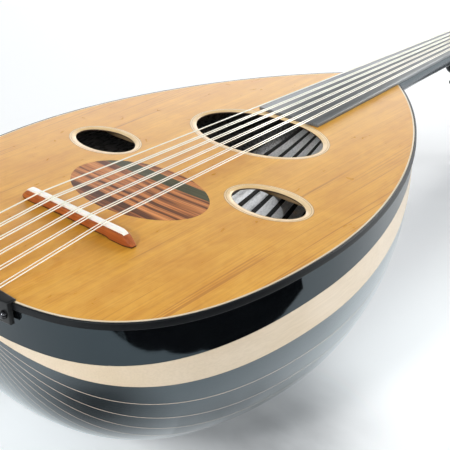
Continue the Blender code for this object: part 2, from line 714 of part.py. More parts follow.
tail_edge = around(TAILPIECE_OFFSET, tail_stations(TAILPIECE_HALF))
tail_outline = [Vector((TAILPIECE_FRONT, tail_edge[0].y)), *tail_edge,
                Vector((TAILPIECE_FRONT, tail_edge[-1].y))]
block_mesh = plate_mesh([tail_outline], TAILPIECE_BOTTOM, TAILPIECE_TOP)
tailpiece = add("tailpiece", block_mesh, EBONY)
bevel(tailpiece, TAILPIECE_ROUNDING)
body_cut = around(BINDING_WIDTH + GAP * 5 / 3, tail_stations(TAILPIECE_HALF + 0.02, 8))
body_cut += [Vector((0.05, body_cut[-1].y)), Vector((0.05, body_cut[0].y))]
body_clearance = plate_mesh([body_cut], 2 * TAILPIECE_BOTTOM, GAP)
combine(tailpiece, cutter("body_clearance", body_clearance), "DIFFERENCE")

rail_stations = tail_stations(RAIL_HALF)
rail_outline = around(TAILPIECE_OFFSET + GAP, rail_stations)
rail_outline += reversed(around(TAILPIECE_OFFSET + GAP + RAIL_THICKNESS, rail_stations))
rail = add("string_anchor_rail", plate_mesh([rail_outline], RAIL_LOW, RAIL_HIGH), STEEL)


def face_x(y, offset):
    """X of the body's tail, offset outwards, at a place across it."""
    return edge(edge_at_width(abs(y)), offset).x


stud_root = -0.001          # inside the rail
stud_neck = STUD_LENGTH - 0.0011
stud_profile = [(0, stud_root), (STUD_RADIUS, stud_root), (STUD_RADIUS, stud_neck - 0.0001),
                (STUD_HEAD_RADIUS, stud_neck + 0.0001), (STUD_HEAD_RADIUS * 0.8, STUD_LENGTH),
                (0, STUD_LENGTH + 0.0003)]
stud_z = (RAIL_LOW + RAIL_HIGH) / 2
facing_tail = Matrix.Rotation(-math.pi / 2, 4, "Y")
for number, course in enumerate(COURSE_AT_BRIDGE, 1):
    y = course * TAIL_SPREAD
    stud = turned_mesh(stud_profile, 8)
    place = Vector((face_x(y, TAILPIECE_OFFSET + RAIL_THICKNESS + GAP), y, stud_z))
    stud.transform(Matrix.Translation(place) @ facing_tail)
    combine(rail, cutter(f"anchor_stud_{number}", stud), "UNION")

screw_profile = [(0, 0), (SCREW_RADIUS, 0), (SCREW_RADIUS, 0.0012), (SCREW_RADIUS * 0.7, 0.0030),
                 (0, 0.0036)]
screw_x = face_x(SCREW_Y, TAILPIECE_OFFSET) - 2 * GAP
for label, side in (("near", -1), ("far", 1)):
    screw_mesh = turned_mesh(screw_profile, 12)
    place = (screw_x, side * SCREW_Y, SCREW_Z)
    add("tail_screw_" + label, screw_mesh, STEEL, location=place, rotation=(0, -math.pi / 2, 0))

# --- Strings --------------------------------------------------------------------------------


def peg_end(side, s, radius):
    """Where a string meets its peg, in the pegbox's frame."""
    y = side * (pegbox_half(s) - CHEEK_THICKNESS - 0.004)
    height = peg_radius(side * y, s) + radius + GAP
    return Vector((s, y, height - peg_depth(s)))


def string_route(bridge_y, nut_y, radius, side, s):
    """From the anchor rail over the tailpiece, saddle and nut to the top of the peg."""
    tail_y = bridge_y * TAIL_SPREAD
    down = face_x(tail_y, TAILPIECE_OFFSET) - radius - GAP
    over_tail = TAILPIECE_TOP + GAP + radius
    over_saddle = SADDLE_TOP + GAP + radius
    over_nut = NUT_TOP + GAP + radius
    bend = 2 * radius
    end = pegbox.matrix_basis @ peg_end(side, s, radius)
    corner = Vector((NUT_X + NUT_THICKNESS + GAP, nut_y, over_nut))
    after = corner + (end - corner).normalized() * 0.002
    return [(down, tail_y, RAIL_HIGH + 2 * GAP), (down, tail_y, over_tail - bend),
            (down + bend / 3, tail_y, over_tail - bend / 3), (down + bend, tail_y, over_tail),
            (BRIDGE_X - SADDLE_WIDTH / 2, bridge_y, over_saddle), (BRIDGE_X, bridge_y, over_saddle),
            (NUT_X + 0.001, nut_y, over_nut), (corner.x - 0.001, nut_y, over_nut),
            corner + Vector((GAP, 0, -GAP)), after, end]


def string(name, route, radius):
    curve = bpy.data.curves.new(name, "CURVE")
    curve.dimensions = "3D"
    curve.bevel_depth = radius
    curve.bevel_resolution = 2
    curve.use_fill_caps = True
    curve.materials.append(NYLON)
    spline = curve.splines.new("POLY")
    spline.points.add(len(route) - 1)
    for point, place in zip(spline.points, route):
        point.co = (*place, 1)
    made = bpy.data.objects.new(name, curve)
    made.parent = oud
    parts.objects.link(made)


# Each lane is one string's Y at the bridge, its Y at the nut and its radius
lanes = [(COURSE_AT_BRIDGE[0], COURSE_AT_NUT[0], COURSE_DIAMETER[0] / 2)]
for number in range(1, len(COURSE_AT_BRIDGE)):
    bridge_y, nut_y = COURSE_AT_BRIDGE[number], COURSE_AT_NUT[number]
    for side in (1, -1):
        lanes.append((bridge_y + side * PAIR_AT_BRIDGE / 2, nut_y + side * PAIR_AT_NUT / 2,
                      COURSE_DIAMETER[number] / 2))
# The first six strings go to the far pegs, nearest first, and the last five to the near pegs
string_pegs = pegs[:FAR_PEGS] + list(reversed(pegs[FAR_PEGS:]))
for number, (lane, peg) in enumerate(zip(lanes, string_pegs), 1):
    bridge_y, nut_y, radius = lane
    _, side, s = peg
    string(f"string_{number:02d}", string_route(bridge_y, nut_y, radius, side, s), radius)

for piece in parts.objects:
    if piece.type == "MESH":
        piece.data.shade_smooth()
        piece.data.set_sharp_from_angle(angle=math.radians(35))
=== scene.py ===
"""The looks of a floating-bridge oud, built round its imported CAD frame.

Shapes are made in the instrument's own coordinates: X runs from the tail (0) towards the neck, Y
across the soundboard (near side negative) and Z up from the soundboard's top face. Each piece's
object then sits at TAIL, the place of that origin in the frame. All sizes are in metres.
"""

from math import atan, copysign, cos, exp, pi, radians, sin

import bmesh
import bpy
from mathutils import Matrix, Vector


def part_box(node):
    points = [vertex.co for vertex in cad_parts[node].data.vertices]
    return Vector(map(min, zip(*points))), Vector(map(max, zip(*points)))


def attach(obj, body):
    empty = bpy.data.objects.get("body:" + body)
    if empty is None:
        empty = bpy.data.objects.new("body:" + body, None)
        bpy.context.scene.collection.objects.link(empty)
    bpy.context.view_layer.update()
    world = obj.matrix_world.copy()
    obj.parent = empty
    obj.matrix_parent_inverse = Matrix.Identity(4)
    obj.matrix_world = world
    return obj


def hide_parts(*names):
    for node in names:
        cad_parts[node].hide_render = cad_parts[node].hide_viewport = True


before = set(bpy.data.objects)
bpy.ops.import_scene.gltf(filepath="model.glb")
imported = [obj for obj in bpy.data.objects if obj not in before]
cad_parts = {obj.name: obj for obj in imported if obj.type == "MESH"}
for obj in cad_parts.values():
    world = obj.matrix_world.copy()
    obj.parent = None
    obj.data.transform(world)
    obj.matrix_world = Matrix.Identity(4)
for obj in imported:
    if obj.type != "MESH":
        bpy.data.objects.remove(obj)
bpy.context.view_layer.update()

# --- Places and sizes shared with the CAD ---

GAP = 0.0003
HAIR = 0.00006              # the joint left between glued pieces
FIXED = "instrument"        # the body that everything but the bridge and the pegs rides on
SIDES = (("near", -1), ("far", 1))
TAIL = Vector((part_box("purfling_line")[0].x - GAP / 3, 0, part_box("soundboard")[1].z))

BODY_LENGTH = 0.49
HALF_WIDTH = 0.1778
WIDEST_X = 0.1827
TAIL_HANDLE = 0.0992
WIDE_HANDLE_TAIL = 0.1658
WIDE_HANDLE_NECK = 0.1045
NECK_HANDLE = 0.1181
NECK_SLOPE = radians(48.6)
JOINT_HALF_WIDTH = 0.0293
OUTLINE_STEPS = 44

BOARD_THICKNESS = 0.002
PURFLING_WIDTH = 0.0012
BINDING_WIDTH = 0.0018
BINDING_HEIGHT = 0.0055

RIM_DROP_TAIL = 0.0352
RIM_DROP_NECK = 0.0181
BOWL_DEPTH_RATIO = 0.922
BOWL_DEPTH_TILT = 0.413
BOWL_EXPONENT = 2.378
HEEL_TAPER_POWER = 8
RIM_TAPER = 0.7
DEPTH_TAPER = 0.36
RIB_THICKNESS = 0.0024
MAPLE_ANGLE = radians(7.1)
NARROW_RIBS = 21
LINE_HALF = 0.00027         # half the width of a pale line between two narrow ribs
TIP_HALF_WIDTH = 0.008

LARGE_HOLE = (0.3114, 0.0, 0.0379, 0.0672)
SMALL_HOLE_X, SMALL_HOLE_Y = 0.2144, 0.0956
SMALL_HOLE_SIZE = (0.0187, 0.034)
RING_WIDTH = 0.0062
PICKGUARD = (0.1669, 0.0, 0.0394, 0.0697)
PICKGUARD_THICKNESS = 0.0007
OVAL_STEPS = 96

BOARD_END_X = 0.3533
BOARD_END_HALF = 0.0347
NUT_X = 0.689
NUT_HALF = 0.0187
NUT_THICKNESS = 0.004
NECK_DEPTH = 0.0205
HEEL_EXTRA = 0.0058
HEEL_LENGTH = 0.012
NECK_EXPONENT = 2.2
FINGERBOARD_TOP = 0.0033
NUT_TOP = 0.0035

PEGBOX_ANGLE = radians(62)
PEGBOX_X = 0.693
PEGBOX_LENGTH = 0.1997
PEGBOX_ROOT_HALF = 0.0192
PEGBOX_END_HALF = 0.013
PEGBOX_ROOT_HEIGHT = 0.024
PEGBOX_END_HEIGHT = 0.019
CHEEK_THICKNESS = 0.0055
FLOOR_THICKNESS = 0.0045
END_BLOCK_LENGTH = 0.01
REBATE_LENGTH = 0.042
REBATE_DEPTH = 0.01
REBATE_WALL = 0.002
FIRST_PEG = 0.026
PEG_PITCH = 0.03
FAR_PEGS = 6
NEAR_PEGS = 5
PEG_TIP_RADIUS = 0.0031
PEG_CHEEK_RADIUS = 0.0042
PEG_CLEARANCE = 0.0002
PEG_HEAD_LENGTH = 0.026
PEG_HEAD_HALF = 0.0112
PEG_HEAD_FLATNESS = 0.4

BRIDGE_X = 0.1012
BRIDGE_SHIFT = -0.0038
BRIDGE_HALF_BOTTOM = 0.0642
BRIDGE_HALF_TOP = 0.0556
BRIDGE_WIDTH = 0.0086
BRIDGE_TOP = 0.0083
BRIDGE_END_TOP = 0.0022
BRIDGE_FOOT = 0.022
BRIDGE_RELIEF = 0.0012
SADDLE_TOP = 0.01065
SADDLE_WIDTH = 0.005

TAILPIECE_FRONT = 0.0054
TAILPIECE_HALF = 0.06
TAILPIECE_TOP = 0.0018
TAILPIECE_BOTTOM = -0.016
TAILPIECE_OFFSET = 0.0055
RAIL_THICKNESS = 0.0014
RAIL_LOW, RAIL_HIGH = -0.012, -0.007
STUD_RADIUS = 0.0016
STUD_HEAD_RADIUS = 0.0026
STUD_LENGTH = 0.004
SCREW_Y, SCREW_Z = 0.056, -0.0085
SCREW_RADIUS = 0.003

COURSE_AT_BRIDGE = (0.0361, 0.0217, 0.0072, -0.008, -0.0229, -0.0391)
COURSE_AT_NUT = (0.0152, 0.0091, 0.0031, -0.0029, -0.009, -0.0151)
PAIR_AT_BRIDGE = 0.0029
PAIR_AT_NUT = 0.002
TAIL_SPREAD = 1.08
COURSE_DIAMETER = (0.00115, 0.0011, 0.00105, 0.001, 0.00095, 0.0009)

BRACE_X = (0.06, 0.14, 0.253, 0.385)
BRACE_WIDTH = 0.005
BRACE_HEIGHT = 0.016
BRACE_END_HEIGHT, BRACE_END_SLOPE = 0.004, 0.03
BRACE_END_GAP = 0.004

# --- Material building blocks ---


class Graph:
    """One material's node graph, read in the piece's own coordinates."""

    def __init__(self, name):
        self.material = bpy.data.materials.new(name)
        self.material.use_nodes = True
        self.tree = self.material.node_tree
        self.shader = self.tree.nodes["Principled BSDF"]
        self.place = self.tree.nodes.new("ShaderNodeTexCoord").outputs["Object"]

    def put(self, socket, value):
        """Give a socket a link, a colour (a tuple of three) or a number."""
        if isinstance(value, bpy.types.NodeSocket):
            self.tree.links.new(value, socket)
        elif isinstance(value, tuple):
            socket.default_value = (*value, 1.0)
        elif value is not None:
            socket.default_value = value

    def math(self, operation, first, second=None):
        node = self.tree.nodes.new("ShaderNodeMath")
        node.operation = operation
        self.put(node.inputs[0], first)
        self.put(node.inputs[1], second)
        return node.outputs[0]

    def plus(self, first, second):
        return self.math("ADD", first, second)

    def times(self, first, second):
        return self.math("MULTIPLY", first, second)

    def level(self, value, low, high):
        """A 0 to 1 value turned into a level between low and high."""
        return self.plus(self.times(value, high - low), low)

    def split(self, vector):
        node = self.tree.nodes.new("ShaderNodeSeparateXYZ")
        self.put(node.inputs[0], vector)
        return node.outputs[0], node.outputs[1], node.outputs[2]

    def join(self, x, y, z):
        node = self.tree.nodes.new("ShaderNodeCombineXYZ")
        for socket, value in zip(node.inputs, (x, y, z)):
            self.put(socket, value)
        return node.outputs[0]

    def noise(self, scale, offset=(0, 0, 0), detail=2.0, distortion=0.0, vector=None):
        """Noise of (X, Y, Z) scale at the piece's own place, or at another vector."""
        place = self.tree.nodes.new("ShaderNodeMapping")
        self.put(place.inputs["Vector"], vector or self.place)
        place.inputs["Scale"].default_value = scale
        place.inputs["Location"].default_value = offset
        node = self.tree.nodes.new("ShaderNodeTexNoise")
        self.put(node.inputs["Vector"], place.outputs[0])
        node.inputs["Scale"].default_value = 1.0
        node.inputs["Detail"].default_value = detail
        node.inputs["Distortion"].default_value = distortion
        return node.outputs[0]

    def ramp(self, value, stops):
        """Colours, or plain levels, by value: stops are (position, level or RGB)."""
        node = self.tree.nodes.new("ShaderNodeValToRGB")
        band = node.color_ramp
        while len(band.elements) < len(stops):
            band.elements.new(0.5)
        for element, (position, level) in zip(band.elements, stops):
            element.position = position
            color = (level,) * 3 if isinstance(level, (int, float)) else level
            element.color = (*color, 1.0)
        self.put(node.inputs[0], value)
        return node.outputs[0]

    def mix(self, share, first, second):
        node = self.tree.nodes.new("ShaderNodeMix")
        node.data_type = "RGBA"
        for socket, value in ((0, share), (6, first), (7, second)):
            self.put(node.inputs[socket], value)
        return node.outputs[2]

    def layers(self, color, *coats):
        """Colours laid over a base; each coat is (value, stops of its share, colour)."""
        for value, stops, coat in coats:
            color = self.mix(self.ramp(value, stops), color, coat)
        return color

    def bump(self, height, strength, distance):
        node = self.tree.nodes.new("ShaderNodeBump")
        node.inputs["Strength"].default_value = strength
        node.inputs["Distance"].default_value = distance
        self.put(node.inputs["Height"], height)
        self.put(self.shader.inputs["Normal"], node.outputs[0])

    def finish(self, color, roughness, **values):
        for name, value in {"base_color": color, "roughness": roughness, **values}.items():
            socket = name.replace("_", " ").title().replace("Ior", "IOR")
            self.put(self.shader.inputs[socket], value)
        return self.material


def scaled(values, factor):
    return tuple(value * factor for value in values)


# --- Materials ---


def cedar():
    """Bookmatched cedar: fine straight grain, broad warm bands, a few dark streaks, satin."""
    g = Graph("cedar")
    x, y, _ = g.split(g.place)
    half = g.math("ABSOLUTE", y)
    sway = g.level(g.noise((3.0, 9.0, 1.0), detail=1.0), -0.004, 0.004)
    board = g.join(x, g.plus(half, sway), 0.0)
    fine = g.noise((5.0, 780.0, 1.0), detail=3.0, vector=board)
    medium = g.noise((2.2, 150.0, 1.0), (3.1, 0, 0), detail=3.0, vector=board)
    broad = g.noise((1.6, 17.0, 1.0), (7.7, 2.3, 0), detail=3.0, vector=board)
    silk = g.noise((60.0, 95.0, 1.0), (1.3, 0, 0), detail=4.0, distortion=1.0)
    blotch = g.noise((24.0, 34.0, 1.0), (5.1, 3.3, 0), detail=4.0, distortion=0.4)
    streak = g.noise((3.2, 130.0, 1.0), (9.4, 5.0, 0), detail=4.0, vector=board)
    color = g.layers(
        g.ramp(broad, [(0.3, (0.65, 0.3, 0.03)), (0.5, (0.735, 0.365, 0.044)),
                       (0.72, (0.79, 0.425, 0.07))]),
        (medium, [(0.38, 0.17), (0.62, 0.0)], (0.46, 0.165, 0.015)),
        (fine, [(0.36, 0.28), (0.6, 0.0)], (0.42, 0.155, 0.018)),
        (silk, [(0.35, 0.0), (0.7, 0.28)], (0.9, 0.53, 0.1)),
        (blotch, [(0.36, 0.3), (0.58, 0.0)], (0.54, 0.215, 0.02)),
        (streak, [(0.655, 0.0), (0.7, 0.45), (0.76, 0.7)], (0.3, 0.085, 0.012)))
    edge = g.ramp(g.times(half, 5.0), [(0.48, 0.0), (0.7, 1.0)])
    line = g.noise((3.4, 430.0, 1.0), (2.2, 8.1, 0), vector=board)
    share = g.times(edge, g.ramp(line, [(0.56, 0.0), (0.66, 0.6)]))
    color = g.mix(share, color, (0.4, 0.13, 0.018))
    g.bump(fine, 0.08, 0.0001)
    return g.finish(color, g.level(silk, 0.25, 0.33), specular_ior_level=0.3)


def maple(name, light, dark, grain=(4.0, 900.0, 900.0), wall=None, painted_shade_x=None):
    """Pale close-grained wood with faint flecks.

    wall is the colour of the painted shade on its sides, if any; the last is the place along it
    where painted shade darkens the wood."""
    g = Graph(name)
    fine = g.noise(grain, detail=3.0)
    cloud = g.noise((14.0, 26.0, 26.0), (2.0, 0, 0), detail=3.0)
    color = g.layers(g.ramp(cloud, [(0.32, dark), (0.66, light)]),
                     (fine, [(0.38, 0.22), (0.6, 0.0)], scaled(dark, 0.72)))
    if wall:
        # Painted shade: more than about 0.8 mm below the face, the sides turn to the given shade
        # colour, as where the ring dips into its hole.
        under = g.times(g.split(g.place)[2], -500.0)
        color = g.layers(color, (under, [(0.38, 0.0), (0.46, 1.0)], wall))
    # Painted shade: a soft dark band across the wood about that place along X, fading out some 9 cm
    # either side.
    if painted_shade_x:
        away = g.times(g.math("ABSOLUTE", g.plus(g.split(g.place)[0], -painted_shade_x)), 10.0)
        color = g.layers(color, (away, [(0.15, 0.3), (0.95, 0.0)], scaled(dark, 0.55)))
    g.bump(fine, 0.06, 0.0001)
    return g.finish(color, g.level(cloud, 0.3, 0.39), coat_weight=0.25, coat_roughness=0.12)


FAINT_COOL = (0.9, 0.97, 1.0)       # tints of the reflections in black varnish
COOL = (0.66, 0.88, 1.0)


def black_wood(name, color, sheen_color, grain, roughness, shine=0.5, figure=0.35,
               tint=FAINT_COOL, coat=0.0):
    """Black-stained wood under varnish, with a faint open grain."""
    g = Graph(name)
    fine = g.noise(grain, detail=4.0)
    cloud = g.noise(scaled(grain, 0.06), (4.0, 1.0, 2.0), detail=3.0)
    shade = g.layers(color, (fine, [(0.4, 0.0), (0.72, figure)], sheen_color),
                     (cloud, [(0.4, 0.0), (0.7, 0.3)], sheen_color))
    g.bump(fine, 0.05, 0.0001)
    return g.finish(shade, g.level(cloud, roughness, roughness * 1.5), specular_ior_level=shine,
                    specular_tint=tint, coat_weight=coat, coat_roughness=0.14,
                    coat_tint=FAINT_COOL)


def rosewood():
    """Quarter-sawn rosewood: stripes across the instrument and one broad black band."""
    g = Graph("rosewood")
    x, y, _ = g.split(g.place)
    sway = g.level(g.noise((20.0, 11.0, 1.0)), -0.0022, 0.0022)
    across = g.plus(x, sway)
    board = g.join(across, y, 0.0)
    stripe = g.noise((150.0, 5.0, 1.0), (0.7, 0.3, 0), detail=4.0, vector=board)
    thin = g.noise((1300.0, 16.0, 1.0), detail=3.0, vector=board)
    pores = g.noise((2600.0, 120.0, 1.0))
    color = g.layers(
        g.ramp(stripe, [(0.36, (0.07, 0.026, 0.01)), (0.44, (0.19, 0.066, 0.026)),
                        (0.51, (0.58, 0.205, 0.06)), (0.62, (0.76, 0.32, 0.105))]),
        (thin, [(0.36, 0.6), (0.58, 0.0)], (0.09, 0.032, 0.014)))
    band_middle, band_half = 0.1912, 0.006
    away = g.math("ABSOLUTE", g.math("SUBTRACT", across, band_middle))
    band = g.ramp(g.math("DIVIDE", away, 2 * band_half), [(0.44, 1.0), (0.54, 0.0)])
    band_color = g.layers((0.04, 0.046, 0.02),
                          (thin, [(0.4, 0.0), (0.66, 0.6)], (0.13, 0.118, 0.055)))
    color = g.mix(band, color, band_color)
    g.bump(pores, 0.16, 0.0001)
    return g.finish(color, g.level(thin, 0.28, 0.38), specular_ior_level=0.1)


def bridge_wood():
    """Red-brown hardwood, its grain along the bridge, darker in the pores, with painted shadow at
    its foot.
    """
    g = Graph("bridge_wood")
    grain = g.noise((900.0, 26.0, 700.0), detail=4.0)
    cloud = g.noise((60.0, 22.0, 60.0), (1.0, 4.0, 0))
    color = g.layers(
        g.ramp(cloud, [(0.35, (0.36, 0.083, 0.015)), (0.66, (0.505, 0.148, 0.03))]),
        (grain, [(0.38, 0.55), (0.6, 0.0)], (0.21, 0.04, 0.01)))
    # Painted shadow: within about 1.4 mm of the bridge's bottom its faces turn near black, where
    # its contact shadow falls.
    _, y, z = g.split(g.place)
    out = g.times(g.math("ABSOLUTE", y), 10.0)
    foot = 10 * (BRIDGE_HALF_BOTTOM - BRIDGE_FOOT)
    sole = g.times(g.ramp(out, [(foot - 0.04, 1.0), (foot, 0.0)]), BRIDGE_RELIEF)
    height = g.times(g.plus(z, g.times(sole, -1.0)), 500.0)
    color = g.layers(color, (height, [(0.4, 1.0), (0.72, 0.0)], (0.018, 0.007, 0.004)))
    g.bump(grain, 0.18, 0.0001)
    return g.finish(color, g.level(grain, 0.36, 0.48), specular_ior_level=0.35)


def bone():
    g = Graph("bone")
    cloud = g.noise((160.0, 70.0, 160.0), detail=3.0)
    fleck = g.noise((2200.0, 380.0, 2200.0))
    color = g.layers(g.ramp(cloud, [(0.3, (0.86, 0.84, 0.77)), (0.7, (0.95, 0.94, 0.9))]),
                     (fleck, [(0.3, 0.35), (0.46, 0.0)], (0.74, 0.68, 0.55)))
    g.bump(fleck, 0.05, 0.00005)
    return g.finish(color, g.level(cloud, 0.24, 0.34), subsurface_weight=0.12,
                    subsurface_scale=0.002)


def nylon(name, color, shade, wound):
    """String: smooth nylon, or fine winding over the thicker ones."""
    g = Graph(name)
    cloud = g.noise((30.0, 400.0, 400.0))
    paint = g.ramp(cloud, [(0.3, shade), (0.7, color)])
    if wound:
        pitch = 0.0004
        x, _, z = g.split(g.place)
        turns = g.math("SINE", g.times(g.math("SUBTRACT", x, z), 2 * pi / pitch))
        g.bump(turns, 0.04, 0.00003)
    return g.finish(paint, g.level(cloud, 0.2, 0.3), coat_weight=0.3, coat_roughness=0.08)


def steel(name, light, dark):
    g = Graph(name)
    brushed = g.noise((300.0, 2400.0, 300.0), detail=3.0)
    color = g.ramp(brushed, [(0.3, dark), (0.7, light)])
    g.bump(brushed, 0.06, 0.00003)
    return g.finish(color, g.level(brushed, 0.1, 0.22), metallic=1.0)


def bare_wood(name, light, dark):
    """Unfinished softwood, grain along Y, for braces and blocks; or dull linen tape."""
    g = Graph(name)
    fine = g.noise((700.0, 5.0, 700.0), detail=3.0)
    cloud = g.noise((30.0, 8.0, 30.0))
    color = g.layers(g.ramp(cloud, [(0.3, dark), (0.7, light)]),
                     (fine, [(0.36, 0.6), (0.6, 0.0)], scaled(dark, 0.7)))
    g.bump(fine, 0.2, 0.0001)
    return g.finish(color, g.level(fine, 0.55, 0.7))


def rib_inside(name, light, dark):
    """Inner face of the bowl: stain under a thin seal coat, or a pale copy painted as lit where
    light falls in through the soundholes.
    """
    g = Graph(name)
    fine = g.noise((9.0, 700.0, 700.0), detail=3.0)
    color = g.ramp(fine, [(0.34, dark), (0.66, light)])
    g.bump(fine, 0.1, 0.0001)
    return g.finish(color, g.level(fine, 0.22, 0.34), coat_weight=0.35, coat_roughness=0.15)


CEDAR = cedar()
# The maple ribs: painted shade darkens their middle about X = 0.085.
MAPLE = maple("maple", (0.71, 0.597, 0.456), (0.63, 0.51, 0.357), painted_shade_x=0.085)
# The rings: their sides dipping into the hole carry painted shade.
RING_MAPLE = maple("ring_maple", (0.88, 0.68, 0.4), (0.75, 0.5, 0.21),
                   (1500.0, 60.0, 300.0), wall=(0.05, 0.026, 0.012))
RING_LINE = maple("ring_line", (0.35, 0.19, 0.08), (0.26, 0.13, 0.05))
LINE_MAPLE = maple("line_maple", (0.56, 0.47, 0.39), (0.46, 0.38, 0.31))
PURFLING = maple("purfling", (0.82, 0.7, 0.5), (0.74, 0.61, 0.41))
SIDE_BLACK = black_wood("side_black", (0.0018, 0.0022, 0.0028), (0.005, 0.006, 0.007),
                        (5.0, 300.0, 500.0), 0.035, 0.82, tint=COOL)
RIB_BLACK = black_wood("rib_black", (0.008, 0.0095, 0.0105), (0.034, 0.034, 0.034),
                       (5.0, 900.0, 900.0), 0.13, 1.0, tint=COOL, coat=1.0)
EDGE_BLACK = black_wood("edge_black", (0.0035, 0.004, 0.005), (0.012, 0.012, 0.013),
                        (7.0, 300.0, 300.0), 0.3, 0.22)
TAIL_BLACK = black_wood("tail_black", (0.006, 0.006, 0.0065), (0.02, 0.019, 0.018),
                        (500.0, 8.0, 500.0), 0.24, 0.35)
BOARD_EBONY = black_wood("board_ebony", (0.078, 0.083, 0.086), (0.2, 0.21, 0.216),
                         (6.0, 1100.0, 600.0), 0.33, 1.0, 0.7)
NECK_BLACK = black_wood("neck_black", (0.04, 0.045, 0.05), (0.075, 0.082, 0.09),
                        (7.0, 600.0, 600.0), 0.16, 1.0, tint=COOL)
BOX_BLACK = black_wood("box_black", (0.009, 0.009, 0.01), (0.026, 0.025, 0.025),
                       (8.0, 500.0, 500.0), 0.17)
PEG_BLACK = black_wood("peg_black", (0.008, 0.008, 0.0085), (0.022, 0.02, 0.019),
                       (900.0, 900.0, 30.0), 0.15)
ROSEWOOD = rosewood()
BRIDGE_WOOD = bridge_wood()
BONE = bone()
NYLON = nylon("nylon", (0.98, 0.95, 0.84), (0.94, 0.9, 0.78), wound=False)
WOUND = nylon("wound_string", (0.97, 0.97, 0.86), (0.92, 0.915, 0.78), wound=True)
STEEL = steel("dark_steel", (0.52, 0.52, 0.53), (0.3, 0.3, 0.31))
BLUED_STEEL = steel("blued_steel", (0.11, 0.112, 0.12), (0.06, 0.061, 0.066))
SPRUCE = bare_wood("bare_spruce", (0.62, 0.44, 0.24), (0.52, 0.34, 0.17))
# A pale copy of the inner face: painted light, where light falls in through the soundholes.
INSIDE_PAINTED_LIGHT = rib_inside("inside_painted_light", (0.86, 0.88, 0.89), (0.7, 0.72, 0.735))
INSIDE_DARK = rib_inside("inside_dark", (0.11, 0.108, 0.104), (0.05, 0.049, 0.048))
LINEN = bare_wood("seam_linen", (0.016, 0.016, 0.016), (0.01, 0.01, 0.01))

# --- Meshes and pieces ---


def added(name, data):
    """A new object in the scene."""
    made = bpy.data.objects.new(name, data)
    bpy.context.scene.collection.objects.link(made)
    return made


def at(*point):
    """The frame's transform to a point given in the instrument's coordinates."""
    return Matrix.Translation(TAIL + Vector(point))


def piece(name, mesh, material, slot, *nodes, body=FIXED, place=None, smooth=40):
    """A finished piece: placed, riding on its body, standing for the CAD nodes it replaces."""
    made = added(name, mesh)
    made.matrix_world = place or at(0, 0, 0)
    mesh.materials.clear()
    mesh.materials.append(material)
    mesh.shade_smooth()
    mesh.set_sharp_from_angle(angle=radians(smooth))
    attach(made, body)
    if nodes:
        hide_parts(*nodes)


def finished(shape, name="mesh", outward=True):
    if outward:
        bmesh.ops.recalc_face_normals(shape, faces=shape.faces)
    mesh = bpy.data.meshes.new(name)
    shape.to_mesh(mesh)
    shape.free()
    return mesh


def loft(rings, hoop=False):
    """A closed skin through rings of the same number of points; a hoop meets itself again."""
    shape = bmesh.new()
    rows = [[shape.verts.new(point) for point in ring] for ring in rings]
    for row, following in zip(rows, rows[1:] + (rows[:1] if hoop else [])):
        for k in range(len(row)):
            j = (k + 1) % len(row)
            shape.faces.new((row[k], row[j], following[j], following[k]))
    if not hoop:
        shape.faces.new(rows[0])
        shape.faces.new(rows[-1])
    return finished(shape)


def evaluated(source):
    """The mesh of a helper object after its modifiers; the object isn't kept."""
    evaluated_source = source.evaluated_get(bpy.context.evaluated_depsgraph_get())
    mesh = bpy.data.meshes.new_from_object(evaluated_source)
    bpy.data.objects.remove(source, do_unlink=True)
    return mesh


def modified(mesh, kind, **settings):
    """A mesh after one modifier."""
    source = added("source", mesh)
    modifier = source.modifiers.new(kind, kind)
    for key, value in settings.items():
        setattr(modifier, key, value)
    return evaluated(source)


def welded(mesh):
    shape = bmesh.new()
    shape.from_mesh(mesh)
    bmesh.ops.remove_doubles(shape, verts=shape.verts, dist=0.000004)
    return finished(shape)


def plate(loops, low, high, turn=None):
    """A flat outline with any holes, from low to high along its normal."""
    curve = bpy.data.curves.new("plate", "CURVE")
    curve.dimensions = "2D"
    curve.fill_mode = "BOTH"
    curve.extrude = (high - low) / 2
    for loop in loops:
        spline = curve.splines.new("POLY")
        spline.points.add(len(loop) - 1)
        for point, place in zip(spline.points, loop):
            point.co = (place[0], place[1], 0, 1)
        spline.use_cyclic_u = True
    mesh = welded(evaluated(added("plate", curve)))
    mesh.transform((turn or Matrix.Identity(4)) @ Matrix.Translation((0, 0, (high + low) / 2)))
    return mesh


def rounded(mesh, width, segments=3, angle=30):
    """The mesh with its edges rounded where they turn by more than angle degrees."""
    return welded(modified(mesh, "BEVEL", width=width, segments=segments, limit_method="ANGLE",
                           angle_limit=radians(angle), harden_normals=False))


def cut(mesh, tools):
    """The mesh after each tool mesh is taken away from it."""
    for tool in tools:
        knife = added("knife", tool)
        mesh = welded(modified(mesh, "BOOLEAN", operation="DIFFERENCE", object=knife))
        bpy.data.objects.remove(knife, do_unlink=True)
    return mesh


def arc_round(a, b, c, radius, steps):
    """Points that replace the corner b between a and c with an arc of about that radius."""
    a, b, c = Vector(a), Vector(b), Vector(c)
    before = b + (a - b).normalized() * min(radius, (a - b).length * 0.49)
    after = b + (c - b).normalized() * min(radius, (c - b).length * 0.49)
    return [before * (1 - t) ** 2 + b * 2 * t * (1 - t) + after * t * t
            for t in (k / steps for k in range(steps + 1))]


def round_path(points, radius, steps):
    """An open polyline with its inner corners rounded."""
    path = [Vector(points[0])]
    for a, b, c in zip(points, points[1:], points[2:]):
        path += arc_round(a, b, c, radius, steps)
    return path + [Vector(points[-1])]


def round_loop(points, radius, steps):
    """A closed polyline with all its corners rounded."""
    count = len(points)
    path = []
    for k in range(count):
        path += arc_round(points[k - 1], points[k], points[(k + 1) % count], radius, steps)
    return path


def full_turn(count):
    """Angles evenly round a circle."""
    return [2 * pi * k / count for k in range(count)]


def box_loop(left, right, low, high):
    return [(left, low), (right, low), (right, high), (left, high)]


